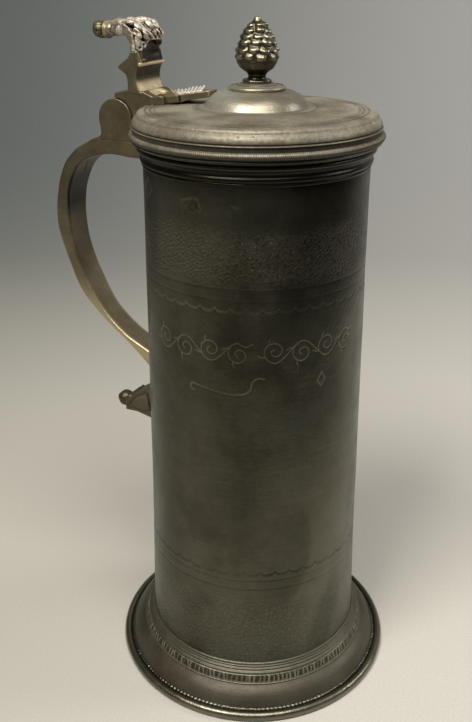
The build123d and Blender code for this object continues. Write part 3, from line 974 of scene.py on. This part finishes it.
def lid_surface(x, y):
    """Height of the lid's outer surface under the hinge block."""
    radius = np.hypot(x, y)
    return np.interp(radius, [0, 25.6, 50.0, 53.2, 55.0, 57.0, 57.2],
                     [299.4, 299.4, 298.4, 297.9, 296.1, 292.5, 284.0])


def scoop(x, y, z):
    """Spoon-shaped hollow where the thumbpiece's front runs out into the hinge block."""
    return ball(x, y, z, (-48.9, 0.0, 310.6), (7.2, 9.6, 10.0))


def scoop_highlight_and_shade(x, y, z):
    """A painted highlight at the bottom of the scoop, standing for its reflection of the lights; painted
    shade in the hollow above it.
    """
    inside = ease((0.9 - abs(scoop(x, y, z))) / 0.6)
    return inside * (1.25 * ease((308.5 - z) / 3.5) - 0.85 * ease((z - 308.0) / 2.5))


def hinge_block():
    """The lid's half of the hinge: a block over the ears, a knuckle between them and a seat on the lid."""
    block = outline((-69.6, 298.6), (-69.2, 302.0), [(-69.0, 302.7), (-68.2, 303.1)], (-61.9, 304.3),
                    (-53.4, 304.0), [(-50.6, 302.9), (-48.4, 302.0)], (-45.0, 302.6), (-42.5, 302.4),
                    (-42.5, 296.0), (-56.0, 290.5), (-60.4, 290.5))
    web = np.array([(HINGE_X, HINGE_Z + 5), (-69.0, 300.8), (-60.0, 300.8), (-56.0, 296.0), (-56.0, 289.6),
                    (-61.0, 287.4), (-64.5, 286.0)])
    knuckle_half = 3.7

    def solid(x, y, z):
        gap = hinge_gap(x, z)
        mass = thick(carve(outline_distance(x, z, block), gap - 9.75, 0.3), y, HINGE_HALF, 0.5)
        knuckle = keep(gap - 8.4, abs(y) - knuckle_half, 0.2)
        neck = plate(x, y, z, web, knuckle_half, 0.2)
        mass = join(mass, join(knuckle, neck), 0.3)
        mass = carve(mass, gap - PIN_RADIUS - 0.06)
        mass = carve(mass, scoop(x, y, z), 0.5)
        # two low peaks close the scoop in front
        for hand in (-1, 1):
            mass = join(mass, ball(x, y, z, (-45.6, hand * 7.4, 301.7), (2.2, 2.6, 1.5)), 0.8)
        # its underside follows the lid
        mass = keep(mass, lid_surface(x, y) - z + 0.02, 0.1)
        mass = carve(mass, keep(np.hypot(x, y) - 57.25, z - 292.3), 0.1)
        mass = carve(mass, np.hypot(np.hypot(x, y) - 57.4, z - 287.6) - 1.6, 0.2)
        return mass + 0.06 * ripple(x, y, z, 5, SEED + 9)

    def tone(x, y, z):
        return scoop_highlight_and_shade(x, y, z) - 0.5 * ease((294 - z) / 3)
    piece = sculpted("hinge_saddle", solid, (-78.5, -11.2, 282.0), (-42.0, 11.2, 304.8), 0.36,
                     CAST_PEWTER, tone)
    return fit(piece, "lid", "handle_pewter", "hinge_block")


def lid_tongue():
    bar = outline((-43.2, 302.4), (-43.2, 298.8), (-37.6, 299.1), (-34.0, 300.4), (-20.0, 303.1),
                  (-20.0, 305.9))
    peaks = outline((-43.1, 299.2), (-43.1, 304.1), (-42.7, 304.6), (-41.7, 303.9), (-40.0, 306.2),
                    (-39.6, 306.2), (-36.6, 302.9), (-36.0, 300.2), step=1.0)

    def solid(x, y, z):
        half = np.interp(x, [-43.0, -37.0, -24.0], [8.8, 6.6, 4.7])
        corner = np.hypot(np.maximum(x + 23.6, 0), np.maximum(abs(y) - 3.1, 0)) - 1.6
        plan = np.where(x > -24.0, corner, abs(y) - half)
        slab = keep(outline_distance(x, z, bar), plan, 0.5)
        # a shallow channel keeps the beading down between two edges
        channel = keep(abs(y) - np.minimum(half, 6.4) + 1.5, keep(tongue_level(x) - z, x + 26.4), 0.2)
        slab = carve(slab, channel, 0.3)
        # the near edge rises to two peaks beside the hinge block
        return join(slab, plate(x, y + 7.8, z, peaks, 1.0, 0.3), 0.2) + 0.04 * ripple(x, y, z, 5, SEED + 10)

    def tone(x, y, z):
        # painted light: the tongue's top is brightened, and the channel floor under the beading gets painted
        # shade
        inner = ease((4.9 - abs(y)) / 0.5) * ease((z - tongue_level(x) + 1.0) / 0.6) * (x < -25.5)
        return 0.4 * ease((z - tongue_level(x) + 0.5) / 0.5) - 1.5 * inner
    piece = sculpted("lid_tongue_bar", solid, (-43.2, -9.1, 298.7), (-21.6, 9.1, 306.6), 0.28,
                     CAST_PEWTER, tone)
    return fit(piece, "lid", "handle_pewter", "lid_tongue")


def tongue_level(x):
    """Height of the tongue's sloping top."""
    return 302.35 + (x + 41.0) * 0.151


def tongue_beading():
    """A fan of slanting beads: each rises across the tongue to a prop, with a smaller one across it."""
    count = 9
    starts = np.linspace(-39.4, -26.8, count)
    leans = np.linspace(4.2, 1.2, count)
    rises = np.random.default_rng(SEED + 25).uniform(0.8, 1.7, count)

    def solid(x, y, z):
        whole = np.inf
        for at, lean, rise in zip(starts, leans, rises):
            low, high = tongue_level(at), tongue_level(at - lean)
            tip = (at - lean, 2.2, high + 0.5 + rise)
            bead = rod(x, y, z, (at, -3.9, low + 0.35), tip, 0.68, 0.50)
            prop = rod(x, y, z, (at - lean, 2.0, high), tip, 0.6, 0.50)
            cross = rod(x, y, z, (at + 0.7, -4.2, low + 0.35), (at - lean - 0.9, -1.2, low + 0.9), 0.5, 0.35)
            whole = join(join(join(whole, bead), prop), cross)
        return whole + 0.05 * ripple(x, y, z, 2.5, SEED + 11)
    # painted highlight: the beads grow brighter with height above the tongue
    piece = sculpted("tongue_bead_row", solid, (-44.6, -5.0, 301.2), (-25.8, 3.4, 308.7), 0.22, LEAF_PEWTER,
                     lambda x, y, z: 0.6 * ease((z - tongue_level(x)) / 0.8), 0.4)
    return fit(piece, "lid", "handle_pewter", "tongue_beading")


# ---- thumbpiece -----------------------------------------------------------------------------------
def thumb_stem():
    """Plate with a spur behind, a cross ridge in front and hollow panels above and below the ridge."""
    top = THUMB_SPLIT + 0.1
    side = outline((-61.9, 303.6), [(-61.4, 307.5), (-62.2, 311.3)], (-64.6, 313.0), (-66.3, 314.1),
                   (-66.0, 315.2), (-62.1, 317.7), [(-60.2, 319.4), (-59.4, top)], (-56.0, top),
                   (-54.9, 316.6), (-54.0, 316.2), (-54.1, 315.2), (-55.1, 315.0),
                   [(-56.9, 310.0), (-53.4, 302.6)], step=0.6)

    def solid(x, y, z):
        mass = plate(x, y, z, side, THUMB_HALF - 0.15, 0.45)
        mass = carve(mass, scoop(x, y, z), 0.5)
        mass = carve(mass, ball(x, y, z, (-52.4, 0.0, 309.8), (4.1, 9.7, 4.9)), 0.6)
        mass = carve(mass, ball(x, y, z, (-53.4, 2.2, 320.6), (3.6, 8.8, 4.0)), 0.3)
        mass = carve(mass, rod(x, y, z, (-53.6, -9.6, 314.0), (-53.6, 9.8, 314.0), 0.9), 0.2)
        mass = join(mass, rod(x, y, z, (-54.6, -10.4, 315.9), (-54.5, 10.7, 315.7), 0.75), 0.2)
        # the ridge's near end rises beside the upper panel
        mass = join(mass, rod(x, y, z, (-54.9, -9.9, 316.2), (-56.4, -10.2, 321.5), 1.3, 0.7), 0.5)
        mass = join(mass, ball(x, y, z, (-54.6, -7.2, 317.6), (0.9, 2.2, 0.9)), 0.4)
        return mass + 0.05 * ripple(x, y, z, 5, SEED + 12)

    def tone(x, y, z):
        # painted light: a painted highlight on the cross ridge and on the bottom of the scoop, painted shade
        # in the panels above and below the ridge
        front = ease((x + 57.8) / 1.0) * ease((10.9 - abs(y)) / 0.5)
        ridge = np.exp(-((z - 315.9) / 0.8)**4) * ease((x + 55.4) / 0.8)
        panel = ease((z - 316.4) / 0.6) * ease((y + 6.8) / 1.5)
        under = ease((315.2 - z) / 0.4) * ease((z - 308.5) / 2.5)
        wear_and_sheen = ease((309.5 - z) / 3.0)
        return 1.1 * ridge + front * (1 - ridge) * (1.1 * wear_and_sheen - 0.95 * panel - 0.8 * under)
    piece = sculpted("thumbpiece_stem", solid, (-66.8, -11.6, 302.6), (-53.2, 11.6, top), 0.33,
                     CAST_PEWTER, tone)
    return fit(piece, "lid", "handle_pewter", "thumbpiece")


def leaf_petals():
    """Petals of the rolled leaf, in rows from its front hem over its top: centre, heading and radii."""
    rng = np.random.default_rng(SEED + 13)
    rows = [(-56.0, 326.4, -72, 4, 8.6, 2.9), (-55.6, 329.8, -62, 5, 9.4, 2.7),
            (-57.0, 332.6, -42, 4, 8.0, 2.8), (-60.2, 334.0, -12, 5, 8.8, 2.8),
            (-64.2, 334.1, 2, 4, 7.2, 2.9), (-68.4, 333.4, 12, 3, 4.6, 2.8)]
    petals = []
    for x, z, heading, count, reach, size in rows:
        for k in range(count):
            y = reach * (2 * k / (count - 1) - 1) + rng.uniform(-0.8, 0.8)
            shift = rng.uniform(-0.7, 0.7, 2)
            radii = [size * rng.uniform(*share) for share in ((0.9, 1.2), (0.62, 0.86), (0.42, 0.56))]
            petals.append(((x + shift[0], y, z + shift[1]), heading + rng.uniform(-16, 16), radii))
    return petals


def thumb_leaf():
    """The thumbpiece's rolled head: overlapping petals with veins, deep folds and small curls."""
    side = outline((-56.2, THUMB_SPLIT), (-59.4, THUMB_SPLIT), (-59.4, 324.3),
                   [(-61.0, 327.6), (-65.5, 328.4)], (-70.5, 327.6), (-77.4, 326.8), (-77.4, 333.2),
                   [(-72.5, 334.2), (-66.0, 333.8), (-60.6, 332.8), (-57.6, 329.4)], (-57.0, 326.0),
                   step=0.8)
    petals = leaf_petals()
    curls = [(-8.8, 323.4, 1.35), (-5.2, 324.2, 1.1), (-1.2, 325.6, 0.95), (5.8, 326.8, 1.0)]
    near_folds = [(-55.6, -10.2, 330.6), (-54.9, -6.9, 327.2), (-55.4, -2.9, 331.2), (-54.4, 1.6, 328.2),
                  (-55.4, 5.2, 331.6), (-54.6, 8.2, 329.0)]
    top_folds = [(-60.6, -6.6, 336.0), (-61.6, -1.8, 336.0), (-60.2, 3.2, 336.0), (-61.4, 7.6, 336.0),
                 (-66.4, -3.6, 336.0), (-66.8, 2.2, 336.0)]
    caps = [((-71.6, 0.6, 332.2), 8, (4.6, 4.6, 2.9), 0.3),
            ((-69.6, -5.0, 331.6), 32, (3.7, 2.0, 1.9), 0.25),
            ((-74.6, -3.0, 330.6), -18, (2.6, 2.2, 2.5), 0.25),
            ((-66.4, -7.6, 331.0), 40, (3.3, 1.7, 1.8), 0.25)]

    def solid(x, y, z):
        half = np.interp(x, [-77.4, -72.0, -68.0, -62.0], [3.4, 4.6, 7.4, THUMB_HALF - 0.3])
        mass = plate(x, y, z, side, half, 0.7)
        for centre, heading, radii in petals:
            mass = join(mass, petal(x, y, z, centre, heading, radii), 0.22)
            # its vein runs along its back
            c, d = math.cos(math.radians(heading)), math.sin(math.radians(heading))
            crest = radii[2] + 0.1
            root, tip = [(centre[0] + c * t - d * crest, centre[1], centre[2] + d * t + c * crest)
                         for t in (-1.4, 2.0)]
            mass = carve(mass, rod(x, y, z, root, tip, 0.30), 0.25)
        for y0, z0, radius in curls:
            mass = join(mass, hoop(x, y, z, (-55.6, y0, z0), (1, -0.3, 0.25), radius, 0.6), 0.25)
            mass = carve(mass, ball(x, y, z, (-55.2, y0, z0), (1.7, 0.5, 0.5)), 0.2)
        for fold in near_folds:
            mass = carve(mass, ball(x, y, z, fold, (2.6, 0.75, 1.9)), 0.4)
        for fold in top_folds:
            mass = carve(mass, ball(x, y, z, fold, (2.4, 0.7, 1.5)), 0.4)
        # a hollow panel under the hem, and cap petals over the rear roll
        mass = carve(mass, ball(x, y, z, (-53.6, 3.2, 321.6), (3.6, 8.0, 4.6)), 0.3)
        for centre, heading, radii, soft in caps:
            mass = join(mass, petal(x, y, z, centre, heading, radii), soft)
        mass = carve(mass, rod(x, y, z, (-74.6, -5.8, 332.6), (-71.2, -5.4, 328.6), 0.55), 0.4)
        worn = 0.14 * ripple(x, y, z, 3.0, SEED + 14) + 0.09 * ripple(x, y, z, 1.5, SEED + 23)
        return keep(mass + worn, THUMB_SPLIT - z)

    def tone(x, y, z):
        # painted light: deep painted shade in the hollow panel under the hem, painted shade on the flanks
        # and under the rear roll, and the front brighter than the back
        panel = ease(326.2 - z) * ease((y + 5.6 - 0.7 * (z - 321)) / 1.2) * ease((x + 58.8) / 0.8)
        flank = ease((abs(y) - THUMB_HALF + 1.6) / 0.8) * ease((-57.4 - x) / 1.2)
        below = ease((328.6 - z) / 0.8) * ease((-60.5 - x) / 1.5)
        behind = ease((-66.5 - x) / 2.0)
        return -1.9 * panel - 0.65 * np.maximum(flank, below) + 0.35 - 0.35 * behind
    piece = sculpted("thumbpiece_foliage", solid, (-77.9, -11.9, THUMB_SPLIT), (-52.6, 11.9, 337.3), 0.28,
                     LEAF_PEWTER, tone, 1.3)
    return fit(piece, "lid", "handle_pewter", "thumbpiece_leaf")


def thumb_bud():
    """Collar, ring and slotted bud, swollen above and below, on the leaf's tip."""
    level = 330.0

    def solid(x, y, z):
        collar = keep(np.hypot(y, z - level) - 3.5, abs(x + 78.2) - 0.3) - 0.5
        bud = ball(x, y, z, (-82.3, 0, level), (3.75, 3.9, 3.8))
        for hand in (-1, 1):
            slot = rod(x, y, z, (-85.6, hand * 2.4, level + 1.9), (-79.6, hand * 4.3, level - 1.9), 0.35)
            bud = carve(bud, slot, 0.2)
        mass = join(collar, hoop(x, y, z, (-77.2, 0, level), (1, 0, 0), 3.5, 0.55), 0.3)
        mass = join(mass, bud, 0.4)
        mass = join(mass, ball(x, y, z, (-82.4, 0, level + 2.4), (3.2, 3.2, 1.3)), 0.5)
        mass = join(mass, ball(x, y, z, (-80.6, 0, level - 3.0), (2.2, 2.6, 1.0)), 0.6)
        return mass + 0.05 * ripple(x, y, z, 3, SEED + 15)
    # painted light: a painted highlight on the collar and ring, painted shade on the bud's underside
    piece = sculpted("thumbpiece_tip", solid, (-86.3, -4.3, 325.4), (-76.4, 4.3, 334.4), 0.24, CAST_PEWTER,
                     lambda x, y, z: 0.6 * ease((x + 79.0) / 0.6) - 0.5 * ease((level - 1.5 - z) / 1.5))
    return fit(piece, "lid", "handle_pewter", "thumbpiece_bud")


# ---- lid ------------------------------------------------------------------------------------------
def lid_cover():
    """Flat underside, rim band with a roughened zone and a bead, rounded shoulder and lined top."""
    under = outline((2.2, 296.4), (50.0, 296.4), step=3.0)
    over = outline(
        (51.0, 296.4), (53.2, 294.2), (53.2, 283.9), (55.6, 283.9), (57.4, 285.2), (57.0, 286.1),
        (57.0, 291.1), [(57.45, 291.5), (57.0, 291.9)], (56.7, 292.1), (57.0, 292.5),
        [(56.5, 294.3), (55.4, 295.7)], (55.0, 296.1), [(54.4, 297.3), (53.2, 297.9)], (50.0, 298.4),
        (25.6, 299.4), (2.2, 299.4), step=0.45)

    def relief(angle, radius, height):
        lift = 0 * angle
        if height > 297.7 and radius > 24:
            lift = lift + 0.07 * ripple_round(angle, radius, height, 26, SEED + 16)
            for r, depth in ((27.4, 0.16), (29.0, 0.08), (46.6, 0.12), (48.4, 0.20), (50.6, 0.18)):
                lift = lift - depth * hump(radius - r, 0.5)
        if radius > 56.8 and 289.0 < height < 291.2:
            lift = lift + 0.12 * np.cos(angle * 260) * math.exp(-((height - 290.1) / 0.9)**4) - 0.1
        return lift

    def tone(angle, radius, height, lift):
        if height < 283.0 or radius < 54:
            stain = ease(ripple_round(angle, radius, height, 24, SEED + 26) - 0.05)
            # painted light on the top's left and right, as seen from the camera
            sides = np.sin(angle - math.radians(FACE_ANGLE))**2 * ease((radius - 26) / 6)
            return np.clip(lift * 3, -0.7, 0) - 0.26 * stain + 0.12 * sides
        # painted highlight along the small bead, painted shade on the shoulder facing the camera; the side
        # band below the shoulder is darker
        line = 0.4 if abs(height - 291.5) < 0.35 else 0
        shoulder = 0.05 - 0.22 * np.maximum(np.cos(angle - math.radians(FACE_ANGLE)), 0)**3
        return line + shoulder * ease((radius - 52) / 2) - 0.7 * ease((293.4 - height) / 1.2)
    piece = turned("lid_cover", np.concatenate([under, over]), LID_PEWTER, 400, relief, tone=tone,
                   fine=lambda h, r: r > 56.5 and h > 288.5)
    return fit(piece, "lid", "lid_pewter", "lid_plate")


def lid_rope_bead():
    points = outline((56.95, 286.1), (57.5, 286.1), [(58.7, 287.6), (57.5, 289.1)], (56.95, 289.1),
                     (56.95, 286.3), step=0.22)
    strands = 400

    def relief(angle, radius, height):
        if radius < 57.3:
            return 0 * angle
        return 0.08 * np.cos(angle * strands + 1.6 * (height - 287.6)) - 0.08

    def tone(angle, radius, height, lift):
        # painted shade on the lower half of the bead
        return lift * 3.0 - 0.5 * ease((288.4 - height) / 1.5) - 0.1
    piece = turned("lid_rope_bead", points, LID_PEWTER, 3 * strands, relief, tone=tone)
    return fit(piece, "lid", "lid_pewter", "lid_rim_bead")


def lid_flange():
    low, high = extent("lid_bezel")
    outer, inner = high.x, high.x - 1.5
    points = outline((inner, low.z + 0.5), [(outer - 0.9, low.z), (outer - 0.3, low.z + 0.6)],
                     (outer, low.z + 2.2), (outer, high.z), (inner, high.z), (inner, low.z + 0.8), step=0.6)

    def relief(angle, radius, height):
        return -0.05 + 0.05 * ripple_round(angle, radius, height, 12, SEED + 17)
    return fit(turned("lid_flange", points, LID_PEWTER, 300, relief), "lid", "lid_pewter", "lid_bezel")


def lid_boss():
    base = extent("lid_dome")[0].z
    points = outline(
        (21.6, base), (25.4, base), [(24.3, base + 0.2), (23.7, base + 0.8)],
        [(22.0, base + 3.2), (19.4, base + 5.4), (16.2, base + 6.7), (13.0, base + 7.3)],
        (2.2, base + 7.3), (2.2, base + 5.5), (12.8, base + 5.5),
        [(15.5, base + 5.0), (18.2, base + 3.9), (20.4, base + 2.2), (21.5, base + 0.2)], step=0.35)

    def relief(angle, radius, height):
        lift = 0.05 * ripple_round(angle, radius, height, 11, SEED + 18)
        for r in (14.2, 15.6):
            lift = lift - 0.08 * hump(radius - r, 0.3)
        return lift if height > base + 0.1 else 0 * angle

    def tone(angle, radius, height, lift):
        # painted light: brighter on the left, towards the hinge, and painted shade on the right, as seen
        # from the camera
        return groove_tone(angle, radius, height, lift) - 0.28 * np.cos(angle - 0.4) - 0.05
    piece = turned("lid_boss", points, DOME_PEWTER, 384, relief, tone=tone)
    return fit(piece, "lid", "lid_pewter", "lid_dome")


def finial_disc():
    base = extent("finial_collar")[0].z
    points = outline((2.2, base), (12.7, base), [(13.1, base + 0.8), (12.8, base + 1.5)], (11.8, base + 1.9),
                     [(11.2, base + 1.7), (10.6, base + 1.9)], [(9.9, base + 2.2), (9.3, base + 2.1)],
                     [(8.6, base + 2.6), (8.0, base + 2.6)], (7.2, base + 3.1), (2.2, base + 3.1), step=0.25)

    def tone(angle, radius, height, lift):
        return -0.8 * sum(hump(radius - r, 0.3) for r in (11.5, 9.2, 7.4)) - 0.3 * (height < base + 0.6)
    piece = turned("finial_disc", points, DOME_PEWTER, 300, tone=tone)
    return fit(piece, "lid", "lid_pewter", "finial_collar")


def finial_seat():
    base = extent("finial_washer")[0].z
    points = outline((2.2, base), (6.4, base), [(6.8, base + 0.7), (6.3, base + 1.4)], (2.2, base + 1.4),
                     step=0.2)

    def relief(angle, radius, height):
        return (0.16 * np.cos(4 * angle + 0.6) - 0.08) * ease((radius - 4) / 2)
    piece = turned("finial_seat", points, CONE_PEWTER, 200, relief, tone=lambda a, r, h, lift: -0.2)
    return fit(piece, "lid", "finial_pewter", "finial_washer")


def finial_neck():
    base = extent("finial_stem")[0].z
    points = outline((2.2, base), (4.7, base), [(4.0, base + 1.3), (4.6, base + 2.6)], (2.2, base + 2.6),
                     step=0.2)
    # painted shade under the pine cone's belly
    piece = turned("finial_neck", points, CONE_PEWTER, 160, tone=lambda a, r, h, lift: -0.8)
    return fit(piece, "lid", "finial_pewter", "finial_stem")


def finial_pinecone():
    """Pine cone: a fluted cup and six rows of uneven knobs. Each row: height, knobs and their size."""
    base, top = [corner.z for corner in extent("finial_cone")]
    points = outline((0, base + 9.0), (2.2, base + 9.0), (2.2, base), (4.4, base), (7.6, base + 2.2),
                     (9.1, base + 4.6), [(9.7, base + 7.8), (9.0, base + 10.8)],
                     [(8.1, base + 13.6), (6.5, base + 17.2), (4.0, base + 20.8), (1.4, top - 0.5)],
                     (0, top - 0.15), step=0.2)
    rows = [(base + 6.8, 10, 2.0), (base + 9.7, 10, 2.0), (base + 12.6, 9, 1.95), (base + 15.3, 8, 1.85),
            (base + 17.8, 7, 1.7), (base + 20.1, 5, 1.5)]
    rng = np.random.default_rng(SEED + 19)
    bulge = rng.uniform(0.65, 1.15, (len(rows), 11))
    raised = rng.uniform(-0.45, 0.45, (len(rows), 11))

    def relief(angle, radius, height):
        if radius < 2.3 and height < base + 12:
            return 0 * angle
        lift = 0.10 * np.cos(9 * angle) * ease((height - base - 1) / 2) * ease((base + 6 - height) / 2)
        knobs = 0 * angle
        for index, (level, count, size) in enumerate(rows):
            place = angle / TURN * count + 0.5 * (index % 2) + 0.13 * index
            which = np.floor(place).astype(int) % count
            across = 2 * (place % 1 - 0.5)
            up = (height - level - raised[index][which] - 0.30 * size * across**2) / size
            shape = np.exp(-(abs(across) / 0.82)**3.4 - 1.1 * (up / np.where(up < 0, 0.55, 0.80))**2)
            knobs = np.maximum(knobs, bulge[index][which] * shape)
        rise = ease((height - base - 4.6) / 2) * ease((radius - 0.6) / 2.2)
        return lift + (1.25 * knobs - 0.75) * rise

    def tone(angle, radius, height, lift):
        # painted light: painted shade on the cup under the cone and between the knobs, painted highlights on
        # the knobs and at the tip
        cup = ease((base + 6.4 - height) / 2.0)
        scales = np.clip(lift * 1.1 + 0.12, -0.85, 0.35) * (1 - cup)
        return scales - 0.6 * cup + 0.4 * ease((height - top + 3) / 2)
    piece = turned("finial_pinecone", points, CONE_PEWTER, 300, relief, loop=False, crease=60, tone=tone)
    return fit(piece, "lid", "finial_pewter", "finial_cone")


# ---- stage, lights and camera -----------------------------------------------------------------------
# painted light falloff: the left colours are darker than the right ones
FLOOR_LEFT, FLOOR_RIGHT = (0.44, 0.43, 0.38), (0.74, 0.72, 0.67)
WALL_LEFT, WALL_RIGHT = (0.145, 0.17, 0.18), (0.48, 0.485, 0.48)


def stage_sweep():
    """Floor that rises into a curved backdrop behind the object, as seen from the camera."""
    front, floor_end, rise, top = -1.4, 0.70, 0.55, 2.2
    path = [(along, 0.0) for along in np.linspace(front, floor_end, 30)]
    path += [(floor_end + rise * math.sin(a), rise * (1 - math.cos(a)))
             for a in np.linspace(0, math.pi / 2, 24)[1:]]
    path += [(floor_end + rise, top)]
    sides = np.linspace(-2.6, 2.6, 27)
    points = np.array([camera_frame(side, along, up) for along, up in path for side in sides])
    columns = len(sides)
    faces = [(r * columns + c, r * columns + c + 1, (r + 1) * columns + c + 1, (r + 1) * columns + c)
             for r in range(len(path) - 1) for c in range(columns - 1)]
    n = Nodes("backdrop")
    place = n.add("TexCoord").outputs["Object"]

    def measured(axis):
        return n.add("VectorMath", {0: place, 1: axis}, operation="DOT_PRODUCT").outputs["Value"]
    away = measured(camera_frame(0, 1, 0))
    speck = n.noise(place, 900, 2, 0.5)
    cloud = n.noise(place, 3.0, 2, 0.5)
    across = measured(camera_frame(1, 0, 0))
    # painted light falloff: the sweep darkens to the left and towards the wall
    drift = n.math("MULTIPLY", n.math("SUBTRACT", cloud, 0.5), 0.05)
    sideways = n.ramp(n.math("ADD", across, drift), -0.5, 0.5)
    near = n.mix(sideways, colour(*FLOOR_LEFT), colour(*FLOOR_RIGHT))
    far = n.mix(sideways, colour(*WALL_LEFT), colour(*WALL_RIGHT))
    tone = n.mix(n.ramp(away, 0.10, 1.05), near, far)
    # painted shade: outside the picture, in front and to the right, the floor is painted near black for the
    # unlit studio
    front = n.math("MULTIPLY", n.ramp(away, -0.46, -0.17, 1.0, 0.0), n.ramp(across, -0.55, -0.10, 0.35, 1.0))
    right = n.ramp(n.math("SUBTRACT", away, n.math("MULTIPLY", across, 0.75)), -0.52, -0.26, 1.0, 0.0)
    tone = n.mix(n.math("MAXIMUM", front, right), tone, colour(0.03, 0.03, 0.028))
    tone = n.mix(n.ramp(speck, 0.3, 0.7, 0.22, 0.0), tone, colour(0.36, 0.34, 0.30))
    n.put(n.shader.inputs["Base Color"], tone)
    n.put(n.shader.inputs["Roughness"], 0.85)
    floor = mesh_piece("studio_sweep", points / MM, faces, n.material)


def soft_light(name, location, target, size, power, tint):
    data = bpy.data.lights.new(name, "AREA")
    data.shape = "RECTANGLE"
    data.size, data.size_y = size
    data.energy = power
    data.color = tint
    lamp = bpy.data.objects.new(name, data)
    lamp.location = location
    lamp.rotation_euler = (Vector(target) - Vector(location)).to_track_quat("-Z", "Y").to_euler()
    bpy.context.scene.collection.objects.link(lamp)


def camera_frame(across, away, up):
    """A point given from the camera's side: across to the right, away from it, and up, in metres."""
    facing = math.radians(24.5)
    c, d = math.cos(facing), math.sin(facing)
    return (across * c - away * d, across * d + away * c, up)


def lights():
    centre = (0, 0, 0.12)
    soft_light("key_left", camera_frame(-0.43, -0.57, 1.3), centre, (0.5, 0.5), 15.5, (1.0, 0.95, 0.86))
    soft_light("key_right", camera_frame(0.17, -0.47, 1.3), centre, (0.5, 0.5), 8.5, (1.0, 0.96, 0.89))
    soft_light("wall_wash", camera_frame(1.5, 0.2, 1.2), camera_frame(0.3, 1.1, 0.2), (0.6, 0.6), 10,
               (1.0, 0.98, 0.95))
    world = bpy.data.worlds.new("studio_air")
    world.use_nodes = True
    world.node_tree.nodes["Background"].inputs[0].default_value = (0.045, 0.045, 0.043, 1)
    bpy.context.scene.world = world


def camera():
    data = bpy.data.cameras.new("view_camera")
    data.lens = 42.65
    data.sensor_width = 36.0
    data.clip_start = 0.02
    view = bpy.data.objects.new("view_camera", data)
    forward = Vector((-0.39679, 0.81752, -0.41738)).normalized()
    right = forward.cross(Vector((0, 0, 1))).normalized()
    up = right.cross(forward)
    roll = math.radians(-0.11)
    right, up = (math.cos(roll) * right + math.sin(roll) * up, -math.sin(roll) * right + math.cos(roll) * up)
    turn = Matrix((right, up, -forward)).transposed()
    view.matrix_world = Matrix.Translation((0.1663, -0.3648, 0.3563)) @ turn.to_4x4()
    bpy.context.scene.collection.objects.link(view)
    bpy.context.scene.camera = view


for make in (drum_body, drum_floor, lip_moulding, foot_ornament, foot_skirt_shell, foot_moulding,
             handle_strap, handle_scroll, terminal_knob, hinge_ears, hinge_block, lid_tongue, tongue_beading,
             thumb_stem, thumb_leaf, thumb_bud, lid_cover, lid_rope_bead, lid_flange, lid_boss, finial_disc,
             finial_seat, finial_neck, finial_pinecone, stage_sweep, lights, camera):
    make()
for node in ("hinge_pin", "finial_stud", "finial_nut"):
    frame["nodes"][node].data.materials.clear()
    frame["nodes"][node].data.materials.append(PIN_METAL)
bpy.context.scene.view_settings.view_transform = "Standard"
